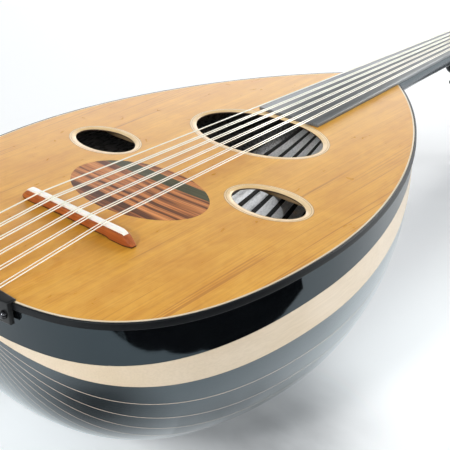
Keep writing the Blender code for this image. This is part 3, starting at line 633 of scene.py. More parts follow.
def tube(path, radius, sides=12):
    """A round closed tube along a path."""
    rings = []
    across = None
    for k, point in enumerate(path):
        ahead = (path[min(k + 1, len(path) - 1)] - path[max(k - 1, 0)]).normalized()
        if across is None:
            across = ahead.orthogonal().normalized()
        across = (across - ahead * across.dot(ahead)).normalized()
        other = ahead.cross(across)
        rings.append([point + (across * cos(a) + other * sin(a)) * radius
                      for a in full_turn(sides)])
    return loft(rings)


# --- Body outline and bowl surface, as in the CAD ---


def cubic(points, t):
    a, b, c, d = points
    return a * (1 - t) ** 3 + b * 3 * (1 - t) ** 2 * t + c * 3 * (1 - t) * t ** 2 + d * t ** 3


JOINT = Vector((BODY_LENGTH, JOINT_HALF_WIDTH))
NECK_PULL = Vector((-cos(NECK_SLOPE), sin(NECK_SLOPE))) * NECK_HANDLE
TAIL_CURVE = (Vector((0, 0)), Vector((0, TAIL_HANDLE)),
              Vector((WIDEST_X - WIDE_HANDLE_TAIL, HALF_WIDTH)), Vector((WIDEST_X, HALF_WIDTH)))
NECK_CURVE = (Vector((WIDEST_X, HALF_WIDTH)), Vector((WIDEST_X + WIDE_HANDLE_NECK, HALF_WIDTH)),
              JOINT + NECK_PULL, JOINT)


def edge(p, offset=0.0):
    """X and half width of the body at p (0 tail, 1 widest, 2 neck), offset outwards."""
    curve, t = (TAIL_CURVE, p) if p < 1 else (NECK_CURVE, p - 1)
    step = 0.0005
    ahead = cubic(curve, t + step) - cubic(curve, t - step)
    outward = Vector((-ahead.y, ahead.x)).normalized()
    point = cubic(curve, t) + outward * offset
    return Vector((min(point.x, BODY_LENGTH), point.y))


def bisect(reached, low, high):
    """The value between low and high where reached(value) turns true."""
    for _ in range(40):
        middle = (low + high) / 2
        if reached(middle):
            high = middle
        else:
            low = middle
    return low


def edge_at_width(half_width):
    return bisect(lambda p: edge(p).y >= half_width, 0.0, 1.0)


def width_at(x):
    return edge(bisect(lambda p: edge(p).x >= x, 0.0, 2.0)).y


STATIONS = [k / OUTLINE_STEPS for k in range(2 * OUTLINE_STEPS + 1)]
ROUND_TRIP = [-p for p in reversed(STATIONS[1:])] + STATIONS


def rim(q, offset):
    """The outline at q, which is negative on the near side and 0 at the tail."""
    point = edge(abs(q), offset)
    return Vector((point.x, copysign(point.y, q) if q else 0.0))


def around(offset, stations=ROUND_TRIP):
    return [rim(q, offset) for q in stations]


def rim_strip(profile, stations=ROUND_TRIP):
    """A closed solid that follows the body's edge: profile holds (offset, Z) points."""
    return loft([[(*rim(q, offset), z) for offset, z in profile] for q in stations])


def oval(centre_x, centre_y, half_x, half_y, grow=0.0, steps=OVAL_STEPS):
    return [Vector((centre_x + (half_x + grow) * cos(a), centre_y + (half_y + grow) * sin(a)))
            for a in full_turn(steps)]


def oval_ring(hole, profile):
    """A ring round an oval hole: profile holds (distance out from the hole, Z) points."""
    loops = [(oval(*hole, grow=out), z) for out, z in profile]
    return loft([[(*loop[k], z) for loop, z in loops] for k in range(OVAL_STEPS)], hoop=True)


def bowl_section(p):
    """X, half width, drop of the rim and depth below it of the bowl's section at p."""
    point = edge(p, -GAP / 3)
    along = point.x / BODY_LENGTH
    taper = along ** HEEL_TAPER_POWER
    drop = (RIM_DROP_TAIL + (RIM_DROP_NECK - RIM_DROP_TAIL) * along) * (1 - RIM_TAPER * taper)
    ratio = BOWL_DEPTH_RATIO * (1 + BOWL_DEPTH_TILT * (along - 0.5)) * (1 - DEPTH_TAPER * taper)
    return point.x, point.y, drop, ratio * point.y


def power(value, exponent):
    return copysign(abs(value) ** (2 / exponent), value)


def bowl_point(p, angle):
    """A point on the bowl: angle 0 is the near rim, 90 degrees the bottom, 180 the far rim."""
    x, half, drop, depth = bowl_section(p)
    return Vector((x, -half * power(cos(angle), BOWL_EXPONENT),
                   -drop - depth * power(sin(angle), BOWL_EXPONENT)))


def bowl_point_inset(p, angle, distance):
    step = 0.01
    speed = (bowl_point(p, angle + step) - bowl_point(p, angle - step)).length / (2 * step)
    return bowl_point(p, angle + distance / speed)


# --- Bowl ---

BOWL_MIDDLE = Vector((BODY_LENGTH * 0.45, 0, -0.06))
TIP = edge_at_width(TIP_HALF_WIDTH)
RIB_STATIONS = [TIP * (1 + k / 3) for k in range(3)] + [p for p in STATIONS if p > 2 * TIP]
ACROSS_STEPS = 5
FACET = 0.3                 # how far a rib's face is flattened towards its chord


def skin(rows, thickness, inside):
    """A shell inwards from a grid of points on the bowl; inside is its inner face's material."""
    shape = bmesh.new()
    grid = [[shape.verts.new(point) for point in row] for row in rows]
    for row, following in zip(grid, grid[1:]):
        for k in range(len(row) - 1):
            shape.faces.new((row[k], row[k + 1], following[k + 1], following[k]))
    shape.faces.ensure_lookup_table()
    middle = shape.faces[len(shape.faces) // 2]
    middle.normal_update()
    if middle.normal.dot(middle.calc_center_median() - BOWL_MIDDLE) < 0:
        bmesh.ops.reverse_faces(shape, faces=shape.faces)
    mesh = finished(shape, outward=False)
    if inside:
        mesh.materials.append(None)
        mesh.materials.append(inside)
    return modified(mesh, "SOLIDIFY", thickness=thickness, offset=-1, use_even_offset=False,
                    material_offset=1 if inside else 0)


def bowl_piece(name, rows, material, slot, *nodes, thickness=RIB_THICKNESS, inside=None):
    """A piece of the bowl's skin, whose inner face may have a material of its own."""
    mesh = skin(rows, thickness, inside)
    layers = [polygon.material_index for polygon in mesh.polygons]
    piece(name, mesh, material, slot, *nodes, smooth=50)
    if inside:
        mesh.materials.append(inside)
        for polygon, layer in zip(mesh.polygons, layers):
            polygon.material_index = layer


def rib_rows(low, high, low_inset, high_inset):
    """Points across a rib: nearly flat between its two seams, as bent strips are."""
    rows = []
    for p in RIB_STATIONS:
        first = bowl_point_inset(p, low, low_inset)
        last = bowl_point_inset(p, high, -high_inset)
        row = []
        for k in range(ACROSS_STEPS + 1):
            share = k / ACROSS_STEPS
            full = bowl_point(p, low + (high - low) * share)
            row.append(full.lerp(first.lerp(last, share), FACET))
        row[0], row[-1] = first, last
        rows.append(row)
    return rows


def side_rows(side):
    """Points down a side rib, from the soundboard's underside to the maple rib."""
    rows = []
    for p in [edge_at_width(GAP)] + STATIONS[1:]:
        x, half, drop, _ = bowl_section(p)
        top = -BOARD_THICKNESS - HAIR
        rows.append([(x, side * half, top + (HAIR - drop - top) * k / 6) for k in range(7)])
    return rows


for label, side in SIDES:
    bowl_piece("side_rib_face_" + label, side_rows(side), SIDE_BLACK, "bowl_ebony",
               "side_rib_" + label, inside=INSIDE_DARK)
for label, low, high in (("near", 0.0, MAPLE_ANGLE), ("far", pi - MAPLE_ANGLE, pi)):
    bowl_piece("maple_rib_face_" + label, rib_rows(low, high, HAIR, HAIR), MAPLE, "maple",
               "maple_rib_" + label, inside=INSIDE_DARK)

rib_angle = (pi - 2 * MAPLE_ANGLE) / NARROW_RIBS
# The bottom ribs, whose inner face is painted pale as if lit through the soundholes.
PAINTED_LIGHT_RIBS = range(9, 17)
PANELS = ("near_a", "near_b", "near_c", "centre", "far_c", "far_b", "far_a")
LINE_DEPTH = 0.0016
for number in range(NARROW_RIBS):
    low = MAPLE_ANGLE + rib_angle * number
    low_inset = LINE_HALF + HAIR / 2 if number else HAIR
    high_inset = LINE_HALF + HAIR / 2 if number < NARROW_RIBS - 1 else HAIR
    stands_for = ["bowl_panel_" + PANELS[number // 3]] if number % 3 == 1 else []
    rows = rib_rows(low, low + rib_angle, low_inset, high_inset)
    bowl_piece(f"narrow_rib_{number + 1:02d}", rows, RIB_BLACK, "bowl_ebony", *stands_for,
               inside=INSIDE_PAINTED_LIGHT if number in PAINTED_LIGHT_RIBS else INSIDE_DARK)
    if number:
        line = [[bowl_point_inset(p, low, -LINE_HALF), bowl_point(p, low),
                 bowl_point_inset(p, low, LINE_HALF)] for p in RIB_STATIONS]
        bowl_piece(f"pale_line_{number:02d}", line, LINE_MAPLE, "maple",
                   thickness=LINE_DEPTH)

STRIP_SHARE = 0.16          # half the width of a seam's inner strip, as a share of the rib's
STRIP_THICKNESS = 0.0002


def inner_rows(angle):
    """A band on the bowl's inner face, centred on a seam."""
    rows = []
    for p in RIB_STATIONS[4:-3]:
        row = []
        rib_width = (bowl_point(p, angle + rib_angle / 2)
                     - bowl_point(p, angle - rib_angle / 2)).length
        for k in (-1, 0, 1):
            on = bowl_point_inset(p, angle, STRIP_SHARE * rib_width * k)
            ahead = bowl_point(p + 0.004 if p < 1.9 else p - 0.004, angle) - bowl_point(p, angle)
            round_about = bowl_point(p, angle + 0.01) - bowl_point(p, angle - 0.01)
            normal = ahead.cross(round_about).normalized()
            if normal.dot(on - BOWL_MIDDLE) > 0:
                normal.negate()
            row.append(on + normal * (RIB_THICKNESS + STRIP_THICKNESS))
        rows.append(row)
    return rows


for number in range(1, NARROW_RIBS):
    angle = MAPLE_ANGLE + rib_angle * number
    bowl_piece(f"seam_strip_{number:02d}", inner_rows(angle), LINEN, "bowl_ebony",
               thickness=STRIP_THICKNESS)

CLASP_X, CLASP_Z = -0.0008, -RIM_DROP_TAIL - 0.001
CLASP_HALF_WIDTH, CLASP_HALF_HEIGHT = 0.012, 0.011
clasp_rings = []
for share, out in ((1.0, -0.0005), (1.0, 0.0006), (0.9, 0.0012), (0.65, 0.0016), (0.3, 0.0018)):
    outline = oval(0, CLASP_Z, CLASP_HALF_WIDTH * share, CLASP_HALF_HEIGHT * share, steps=40)
    clasp_rings.append([(CLASP_X - out, y, z) for y, z in outline])
piece("tail_clasp", loft(clasp_rings), EDGE_BLACK, "ebony_gloss", "rib_end_clasp")

# --- Soundboard, its edge, rings and pickguard ---

HOLES = {"large": LARGE_HOLE,
         "near": (SMALL_HOLE_X, -SMALL_HOLE_Y, *SMALL_HOLE_SIZE),
         "far": (SMALL_HOLE_X, SMALL_HOLE_Y, *SMALL_HOLE_SIZE)}
INK_WIDTH = 0.0003          # the dark line on each side of a ring's outer band
OUTER_BAND = 0.0013
RING_BEVEL, RING_DIP = 0.003, 0.0006        # the ring's slope down to its hole
INLAY_TOP = 0.00003         # inlays stand this little above the soundboard
PURFLING_TOP, BINDING_TOP = 0.00002, 0.00004

purfling_inner = -PURFLING_WIDTH - GAP / 3
board_loops = [around(purfling_inner - HAIR)]
board_loops += [oval(*hole, grow=RING_WIDTH + HAIR) for hole in HOLES.values()]
board = plate(board_loops, -BOARD_THICKNESS, 0)
pocket = plate([oval(*PICKGUARD, grow=HAIR)], -PICKGUARD_THICKNESS, BOARD_THICKNESS)
piece("soundboard_face", cut(board, [pocket]), CEDAR, "soundboard_cedar", "soundboard", smooth=20)

purfling_profile = box_loop(purfling_inner, -HAIR, -BOARD_THICKNESS, PURFLING_TOP)
piece("purfling_inlay", rim_strip(purfling_profile), PURFLING, "maple", "purfling_line", smooth=30)
binding_profile = round_loop([(0.0, BINDING_TOP), (BINDING_WIDTH, BINDING_TOP),
                              (BINDING_WIDTH + 0.0002, -BINDING_HEIGHT),
                              (0.0, -BINDING_HEIGHT)], 0.0008, 3)
piece("binding_strip", rim_strip(binding_profile), EDGE_BLACK, "ebony_gloss", "edge_binding")

for label, hole in HOLES.items():
    low = -BOARD_THICKNESS
    inner_out = RING_WIDTH - OUTER_BAND - 2 * INK_WIDTH
    band = [(0.0, low), (inner_out, low), (inner_out, INLAY_TOP), (RING_BEVEL, INLAY_TOP),
            (0.0002, -RING_DIP), (0.0, -RING_DIP - 0.0002)]
    piece("ring_" + label, oval_ring(hole, band), RING_MAPLE, "maple", "soundhole_ring_" + label,
          smooth=50)
    for suffix, start, width, material in (
            ("ink_in", inner_out, INK_WIDTH, RING_LINE),
            ("band", inner_out + INK_WIDTH, OUTER_BAND, RING_MAPLE),
            ("ink_out", RING_WIDTH - INK_WIDTH, INK_WIDTH, RING_LINE)):
        flat = box_loop(start, start + width, low, INLAY_TOP)
        piece(f"ring_{label}_{suffix}", oval_ring(hole, flat), material, "maple", smooth=30)

pickguard = plate([oval(*PICKGUARD)], -PICKGUARD_THICKNESS + HAIR, INLAY_TOP)
piece("pickguard_inlay", pickguard, ROSEWOOD, "rosewood", "pickguard", smooth=20)

# --- Inside ---

for number, x in enumerate(BRACE_X, 1):
    half = width_at(x) - RIB_THICKNESS - BRACE_END_GAP
    top = -BOARD_THICKNESS - GAP
    rings = []
    for k in range(41):
        y = half * (k / 20 - 1)
        ease = min(1.0, (half - abs(y)) / BRACE_END_SLOPE)
        rise = sin(ease * pi / 2) ** 1.5
        height = BRACE_END_HEIGHT + (BRACE_HEIGHT - BRACE_END_HEIGHT) * rise
        section = [(x - BRACE_WIDTH / 2, top), (x + BRACE_WIDTH / 2, top)]
        for j in range(9):
            turn = pi * j / 8
            section.append((x + BRACE_WIDTH / 2 * cos(turn),
                            top - height + (height * 0.4) * (1 - sin(turn))))
        rings.append([(px, y, pz) for px, pz in section])
    piece(f"brace_bar_{number}", loft(rings), SPRUCE, "inner_spruce", f"brace_{number}", smooth=50)

for name in ("neck_block", "tail_block"):
    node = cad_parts[name]
    node.data.materials.clear()
    node.data.materials.append(SPRUCE)

# --- Neck, fingerboard and nut ---


def smooth_step(t):
    t = max(0.0, min(1.0, t))
    return t * t * (3 - 2 * t)


def neck_half(x):
    """Half width of the fingerboard, and of the neck under it."""
    if x < BODY_LENGTH:
        share = (BODY_LENGTH - x) / (BODY_LENGTH - BOARD_END_X)
        return JOINT_HALF_WIDTH + (BOARD_END_HALF - JOINT_HALF_WIDTH) * share
    share = (x - BODY_LENGTH) / (NUT_X - BODY_LENGTH)
    return JOINT_HALF_WIDTH + (NUT_HALF - JOINT_HALF_WIDTH) * min(share, 1.0)


def neck_ring(x, half, depth, lean=0.0, heel=0.0):
    """The neck's D-shaped section; heel blends it into the bowl's section at the joint."""
    _, bowl_half, drop, bowl_depth = bowl_section(2.0)
    ring = []
    for k in range(33):
        angle = pi * k / 32
        across, down = cos(angle), sin(angle)
        y, z = -half * power(across, NECK_EXPONENT), -depth * power(down, NECK_EXPONENT)
        bowl_y = -bowl_half * power(across, BOWL_EXPONENT)
        bowl_z = -(drop + bowl_depth * power(down, BOWL_EXPONENT)) if 0 < k < 32 else 0.0
        ring.append((x + lean * z, y + (bowl_y - y) * heel, z + (bowl_z - z) * heel))
    return ring


bend_reach = (NECK_DEPTH - PEGBOX_ROOT_HEIGHT * cos(PEGBOX_ANGLE)) / sin(PEGBOX_ANGLE)
bend_x = bend_reach * cos(PEGBOX_ANGLE) - PEGBOX_ROOT_HEIGHT * sin(PEGBOX_ANGLE)
neck_rings = []
ring_steps, ring_reach = 28, 0.18           # rings crowd near the joint, where the heel curves
for k in range(ring_steps + 1):
    x = ring_reach * (k / ring_steps) ** 1.8
    depth = NECK_DEPTH + HEEL_EXTRA * exp(-x / HEEL_LENGTH)
    place = BODY_LENGTH + HAIR + x
    heel = 1 - smooth_step(x / HEEL_LENGTH)
    neck_rings.append(neck_ring(place, neck_half(place), depth, heel=heel))
neck_rings.append(neck_ring(PEGBOX_X - HAIR, NUT_HALF, NECK_DEPTH, lean=-bend_x / NECK_DEPTH))
piece("neck_shaft", loft(neck_rings), NECK_BLACK, "neck_ebony", "neck")

board_xs = (BOARD_END_X, BODY_LENGTH, NUT_X - HAIR)
board_outline = [(x, -neck_half(x)) for x in board_xs]
board_outline += [(x, neck_half(x)) for x in reversed(board_xs)]
piece("fingerboard_plank", rounded(plate([board_outline], HAIR, FINGERBOARD_TOP), 0.0004, 2),
      BOARD_EBONY, "fingerboard_ebony", "fingerboard")
nut = plate([box_loop(NUT_X, NUT_X + NUT_THICKNESS, -NUT_HALF, NUT_HALF)], HAIR, NUT_TOP)
piece("bone_nut", rounded(nut, 0.0008), BONE, "bone", "nut")

# --- Pegbox and pegs ---
# In the pegbox's own frame X runs along it, and Z is 0 on the open face and negative inside.

PEGBOX_TURN = Matrix.Rotation(PEGBOX_ANGLE, 4, "Y")
PEGBOX = at(PEGBOX_X, 0, 0) @ PEGBOX_TURN


def pegbox_half(s):
    return PEGBOX_ROOT_HALF + (PEGBOX_END_HALF - PEGBOX_ROOT_HALF) * s / PEGBOX_LENGTH


def pegbox_height(s):
    return PEGBOX_ROOT_HEIGHT + (PEGBOX_END_HEIGHT - PEGBOX_ROOT_HEIGHT) * s / PEGBOX_LENGTH


def peg_depth(s):
    return pegbox_height(s) / 2


PEGS = [("far", k, 1, FIRST_PEG + PEG_PITCH * (k - 1)) for k in range(1, FAR_PEGS + 1)]
PEGS += [("near", k, -1, FIRST_PEG + PEG_PITCH * (k - 0.5)) for k in range(1, NEAR_PEGS + 1)]
DRILL_PAST = 0.003          # how far a drill runs past the cheeks


def peg_frame(side, s):
    """Z along the peg, towards its head."""
    return Matrix.Translation((s, 0, -peg_depth(s))) @ Matrix.Rotation(-side * pi / 2, 4, "X")


def peg_radius(y, s):
    reach = pegbox_half(s)
    return PEG_TIP_RADIUS + (PEG_CHEEK_RADIUS - PEG_TIP_RADIUS) * (y + reach) / (2 * reach)


def drills():
    tools = []
    for _, _, side, s in PEGS:
        reach = pegbox_half(s) + DRILL_PAST
        shape = bmesh.new()
        bmesh.ops.create_cone(shape, cap_ends=True, segments=32, depth=2 * reach,
                              radius1=peg_radius(-reach, s) + PEG_CLEARANCE,
                              radius2=peg_radius(reach, s) + PEG_CLEARANCE,
                              matrix=peg_frame(side, s))
        tools.append(finished(shape))
    return tools


UPRIGHT = Matrix(((1, 0, 0, 0), (0, 0, -1, 0), (0, 1, 0, 0), (0, 0, 0, 1)))
CORNER_CUT = 0.006          # the cheeks' slanted corner at the pegbox's end
cheek_turn = atan((PEGBOX_ROOT_HALF - PEGBOX_END_HALF) / PEGBOX_LENGTH)
end_corners = [(PEGBOX_LENGTH - CORNER_CUT, 0), (PEGBOX_LENGTH, -CORNER_CUT),
               (PEGBOX_LENGTH, -PEGBOX_END_HEIGHT)]
cheek_outline = [(HAIR, 0), *round_path(end_corners, 0.005, 5)[1:-1], end_corners[-1],
                 (bend_reach + HAIR, -PEGBOX_ROOT_HEIGHT)]
REBATE_PAST = 0.01          # how far the rebate's cutter runs past the wood
for label, side in SIDES:
    mesh = plate([cheek_outline], -CHEEK_THICKNESS / 2, CHEEK_THICKNESS / 2, UPRIGHT)
    centre = side * (PEGBOX_ROOT_HALF - CHEEK_THICKNESS / 2)
    mesh = rounded(mesh, 0.0008, 3, 50)
    mesh.transform(Matrix.Translation((0, centre, 0)) @ Matrix.Rotation(-side * cheek_turn, 4, "Z"))
    wall = PEGBOX_ROOT_HALF - REBATE_WALL
    end_wall = pegbox_half(REBATE_LENGTH) - REBATE_WALL
    rebate = plate([[(-REBATE_PAST, 0), (REBATE_LENGTH, 0), (REBATE_LENGTH, side * end_wall),
                     (-REBATE_PAST, side * wall)]], -REBATE_DEPTH, REBATE_PAST)
    piece("cheek_" + label, cut(mesh, [rebate, *drills()]), BOX_BLACK, "pegbox_ebony",
          "pegbox_cheek_" + label, place=PEGBOX, smooth=35)


def between_cheeks(start, end):
    """Outline of a plate that fits between the cheeks."""
    first, last = (pegbox_half(s) - CHEEK_THICKNESS - HAIR for s in (start, end))
    return [(start, -first), (end, -last), (end, last), (start, first)]


floor_start = bend_reach + 0.0007
floor_outline = between_cheeks(floor_start, PEGBOX_LENGTH - HAIR)
floor_mesh = plate([floor_outline], 0, FLOOR_THICKNESS)
slope = (PEGBOX_ROOT_HEIGHT - PEGBOX_END_HEIGHT) / PEGBOX_LENGTH
for vertex in floor_mesh.vertices:
    vertex.co.z += slope * vertex.co.x - PEGBOX_ROOT_HEIGHT
piece("pegbox_back_plate", rounded(floor_mesh, 0.0004, 2), BOX_BLACK, "pegbox_ebony",
      "pegbox_back", place=PEGBOX)
end_start = PEGBOX_LENGTH - END_BLOCK_LENGTH
end_bottom = -pegbox_height(end_start) + FLOOR_THICKNESS + HAIR
end_mesh = plate([between_cheeks(end_start, PEGBOX_LENGTH - CORNER_CUT)], end_bottom, -GAP)
piece("pegbox_end_block", rounded(end_mesh, 0.0006, 2), BOX_BLACK, "pegbox_ebony", "pegbox_end",
      place=PEGBOX)

# A bead of a peg's collar: radius, swell, distance past the cheek, half length, steps
PEG_BEADS = ((0.0046, 0.001, 0.0012, 0.0014, 8), (0.0034, 0.0006, 0.0042, 0.0004, 6))
PEG_COLLAR = 0.005          # where the head starts past the cheek
PEG_WAIST_RADIUS = 0.003
PEG_BUTTON_LENGTH = 0.004
PEG_BUTTON_RADIUS = 0.0026


def peg_mesh(s):
    """Tapered shank, two-bead collar, slim waist and a flat leaf-shaped head with a button end."""
    reach = pegbox_half(s)
    start = reach + PEG_COLLAR
    tip = peg_radius(-reach, s)
    profile = [(0.0008, -reach - 0.0012), (tip - 0.0006, -reach - 0.0012), (tip, -reach - 0.0006),
               (PEG_CHEEK_RADIUS, reach + 0.0008)]
    for radius, swell, past, half_length, steps in PEG_BEADS:
        for k in range(steps + 1):
            turn = pi * k / steps
            profile.append((radius + swell * sin(turn),
                            reach + past + half_length * (1 - cos(turn))))
    rings = [(radius, z, 1.0) for radius, z in profile]
    leaf = PEG_HEAD_LENGTH - PEG_BUTTON_LENGTH
    for k in range(1, 25):
        t = k / 24
        swell = sin(pi * t ** 0.85) ** 0.75
        radius = PEG_WAIST_RADIUS + (PEG_HEAD_HALF - PEG_WAIST_RADIUS) * swell
        rings.append((radius, start + leaf * t, 1 - (1 - PEG_HEAD_FLATNESS) * smooth_step(t * 3)))
    for k in range(1, 9):
        turn = pi / 2 * (k / 8 * 1.85 - 0.85)
        rings.append((PEG_BUTTON_RADIUS * max(0.12, cos(turn)),
                      start + leaf + 0.0018 + 0.002 * sin(turn), 1.0))
    return loft([[(radius * cos(a), radius * flat * sin(a), z) for a in full_turn(28)]
                 for radius, z, flat in rings])


# --- String routes ---


def tail_stations(half_width, count):
    last = edge_at_width(half_width)
    return [last * k / count for k in range(-count, count + 1)]


def face_x(y, offset):
    return edge(edge_at_width(abs(y)), offset).x


def peg_end(side, s, radius):
    """Where a string meets its peg, in the pegbox's frame."""
    y = side * (pegbox_half(s) - CHEEK_THICKNESS - 0.004)
    return Vector((s, y, peg_radius(side * y, s) + radius - peg_depth(s)))


STRING_START_Z = RAIL_HIGH + 0.0006
NUT_CREST = NUT_X + NUT_THICKNESS - 0.0005
STRING_BEND = 0.0016        # how far from a corner a string starts to bend


def string_route(bridge_y, nut_y, radius, side, s):
    """A string's middle line, from behind the tailpiece over bridge and nut to its peg."""
    tail_y = bridge_y * TAIL_SPREAD
    outer = face_x(tail_y, TAILPIECE_OFFSET)
    down = outer - radius - HAIR
    lift = HAIR + radius
    end = Matrix.Translation((PEGBOX_X, 0, 0)) @ PEGBOX_TURN @ peg_end(side, s, radius)
    corners = ((down, tail_y, STRING_START_Z), (down, tail_y, TAILPIECE_TOP + lift),
               (BRIDGE_X, bridge_y, SADDLE_TOP + lift),
               (NUT_CREST, nut_y, NUT_TOP + lift), end)
    return round_path([Vector(corner) for corner in corners], STRING_BEND, 6)


lanes = []                  # each string's Y at the bridge, Y at the nut and diameter
for bridge_y, nut_y, diameter in zip(COURSE_AT_BRIDGE, COURSE_AT_NUT, COURSE_DIAMETER):
    for side in (1, -1) if lanes else (0,):
        lanes.append((bridge_y + side * PAIR_AT_BRIDGE / 2, nut_y + side * PAIR_AT_NUT / 2,
                      diameter))
string_pegs = PEGS[:FAR_PEGS] + list(reversed(PEGS[FAR_PEGS:]))
WOUND_STRINGS = 5


def winding(side, s, radius):
    """Turns of string round the peg, from where the string arrives towards the middle."""
    end = peg_end(side, s, radius)
    turns, steps = 4.5, 20
    pitch = 2.06 * radius
    path = []
    for k in range(int(turns * steps) + 1):
        angle = 2 * pi * k / steps
        y = end.y - side * pitch * k / steps
        reach = peg_radius(side * y, s) + radius
        path.append(Vector((s + reach * sin(angle), y, -peg_depth(s) + reach * cos(angle))))
    return path


for number, (lane, peg) in enumerate(zip(lanes, string_pegs), 1):
    bridge_y, nut_y, diameter = lane
    label, order, side, s = peg
    radius = diameter / 2
    wire = WOUND if number <= WOUND_STRINGS else NYLON
    route = string_route(bridge_y, nut_y, radius, side, s)
    piece(f"string_line_{number:02d}", tube(route, radius), wire, "string_nylon",
          f"string_{number:02d}", smooth=80)
    node = f"peg_{label}_{order}"
    body = node + "_body"
    turn = Matrix.Rotation(radians(37 * order + 20), 4, "Z")
    piece("tuning_" + node, peg_mesh(s), PEG_BLACK, "peg_ebony", node, body=body,
          place=PEGBOX @ peg_frame(side, s) @ turn, smooth=60)
    piece(f"winding_{number:02d}", tube(winding(side, s, radius), radius, 8), wire,
          "string_nylon", body=body, place=PEGBOX, smooth=80)

# --- Bridge ---


def bridge_outline(y):
    """Half width, bottom and top of the bridge at y from its middle."""
    out = abs(y)
    past = max(0.0, (out - BRIDGE_HALF_TOP) / (BRIDGE_HALF_BOTTOM - BRIDGE_HALF_TOP))
    top = BRIDGE_TOP - (BRIDGE_TOP - BRIDGE_END_TOP) * past ** 1.15
    foot = BRIDGE_HALF_BOTTOM - BRIDGE_FOOT
    bottom = HAIR + BRIDGE_RELIEF * smooth_step((foot - out) / 0.004)
    half = BRIDGE_WIDTH / 2 * (1 - 0.42 * past ** 1.6)
    return half, bottom, top


base_rings = []
base_steps = 48
for k in range(-base_steps, base_steps + 1):
    y = BRIDGE_HALF_BOTTOM * sin(k / base_steps * pi / 2)
    half, bottom, top = bridge_outline(y)
    crown = half * 0.8
    corners = [(-half, bottom), (half, bottom), (crown, top), (-crown, top)]
    base_rings.append([(px, y, pz) for px, pz in round_loop(corners, 0.0006, 3)])
tip_rings = []
tip_y, tip_share = BRIDGE_HALF_BOTTOM + 0.0005, 0.6
for ring, y in ((base_rings[0], -tip_y), (base_rings[-1], tip_y)):
    middle = sum((Vector(point) for point in ring), Vector()) / len(ring)
    tip_rings.append([(middle.x + (px - middle.x) * tip_share, y,
                       middle.z + (pz - middle.z) * tip_share) for px, _, pz in ring])
bridge_place = at(BRIDGE_X, BRIDGE_SHIFT, 0)
piece("bridge_body", loft([tip_rings[0], *base_rings, tip_rings[1]]), BRIDGE_WOOD, "bridge_wood",
      "bridge_base", body="bridge", place=bridge_place, smooth=50)

saddle_half = BRIDGE_HALF_TOP + 0.0012
saddle_end = 0.0055         # the length of its rounded ends
saddle_rings = []
for k in range(-32, 33):
    y = saddle_half * sin(k / 32 * pi / 2)
    ease = min(1.0, (saddle_half - abs(y)) / saddle_end)
    top = BRIDGE_TOP + (SADDLE_TOP - BRIDGE_TOP) * sin(ease * pi / 2) ** 0.7
    low = bridge_outline(y)[2] + HAIR / 2
    top = max(top, low + 0.0003)
    half = SADDLE_WIDTH / 2
    crown = half * 0.82
    corners = [(-half, low), (half, low), (crown, top), (-crown, top)]
    saddle_rings.append([(px, y, pz) for px, pz in round_loop(corners, 0.0005, 3)])
piece("bone_saddle", loft(saddle_rings), BONE, "bone", "bridge_saddle", body="bridge",
      place=bridge_place, smooth=50)

# --- Tailpiece, rail, studs and screws ---

tail_edge = around(TAILPIECE_OFFSET, tail_stations(TAILPIECE_HALF, 24))
tail_outline = [Vector((TAILPIECE_FRONT, tail_edge[0].y)), *tail_edge,
                Vector((TAILPIECE_FRONT, tail_edge[-1].y))]
CUTTER_PAST = 0.05          # how far the cutter for the bowl's edge runs past the block
body_cut = around(BINDING_WIDTH + 0.0005, tail_stations(TAILPIECE_HALF + 0.02, 30))
body_cut += [Vector((CUTTER_PAST, body_cut[-1].y)), Vector((CUTTER_PAST, body_cut[0].y))]
block = rounded(plate([tail_outline], TAILPIECE_BOTTOM, TAILPIECE_TOP), 0.0011, 4, 50)
block = cut(block, [plate([body_cut], -CUTTER_PAST, GAP)])
piece("tailpiece_block", block, TAIL_BLACK, "ebony_gloss", "tailpiece", smooth=35)

RAIL_HALF = 0.047
rail_in, rail_out = TAILPIECE_OFFSET + HAIR, TAILPIECE_OFFSET + RAIL_THICKNESS
rail_profile = round_loop([(rail_in, RAIL_LOW), (rail_in, RAIL_HIGH), (rail_out, RAIL_HIGH),
                           (rail_out, RAIL_LOW)], 0.0003, 2)
piece("anchor_rail", rim_strip(rail_profile, tail_stations(RAIL_HALF, 20)), STEEL, "dark_steel",
      "string_anchor_rail")


def turned(profile):
    """A turned solid about Z from (radius, height) points."""
    return loft([[(r * cos(a), r * sin(a), z) for a in full_turn(28)] for r, z in profile])


FACING_TAIL = Matrix.Rotation(-pi / 2, 4, "Y")
stud_z = (RAIL_LOW + RAIL_HIGH) / 2
AXIS_RADIUS = 0.0003        # a turned solid's flat middle
stud_profile = [(AXIS_RADIUS, -0.001), (STUD_RADIUS, -0.001), (STUD_RADIUS, STUD_LENGTH - 0.0013),
                (STUD_HEAD_RADIUS, STUD_LENGTH - 0.001), (STUD_HEAD_RADIUS, STUD_LENGTH - 0.0006),
                (STUD_HEAD_RADIUS * 0.75, STUD_LENGTH), (AXIS_RADIUS, STUD_LENGTH + 0.0003)]
for number, course in enumerate(COURSE_AT_BRIDGE, 1):
    y = course * TAIL_SPREAD
    piece(f"anchor_stud_{number}", turned(stud_profile), STEEL, "dark_steel",
          place=at(face_x(y, rail_out), y, stud_z) @ FACING_TAIL)

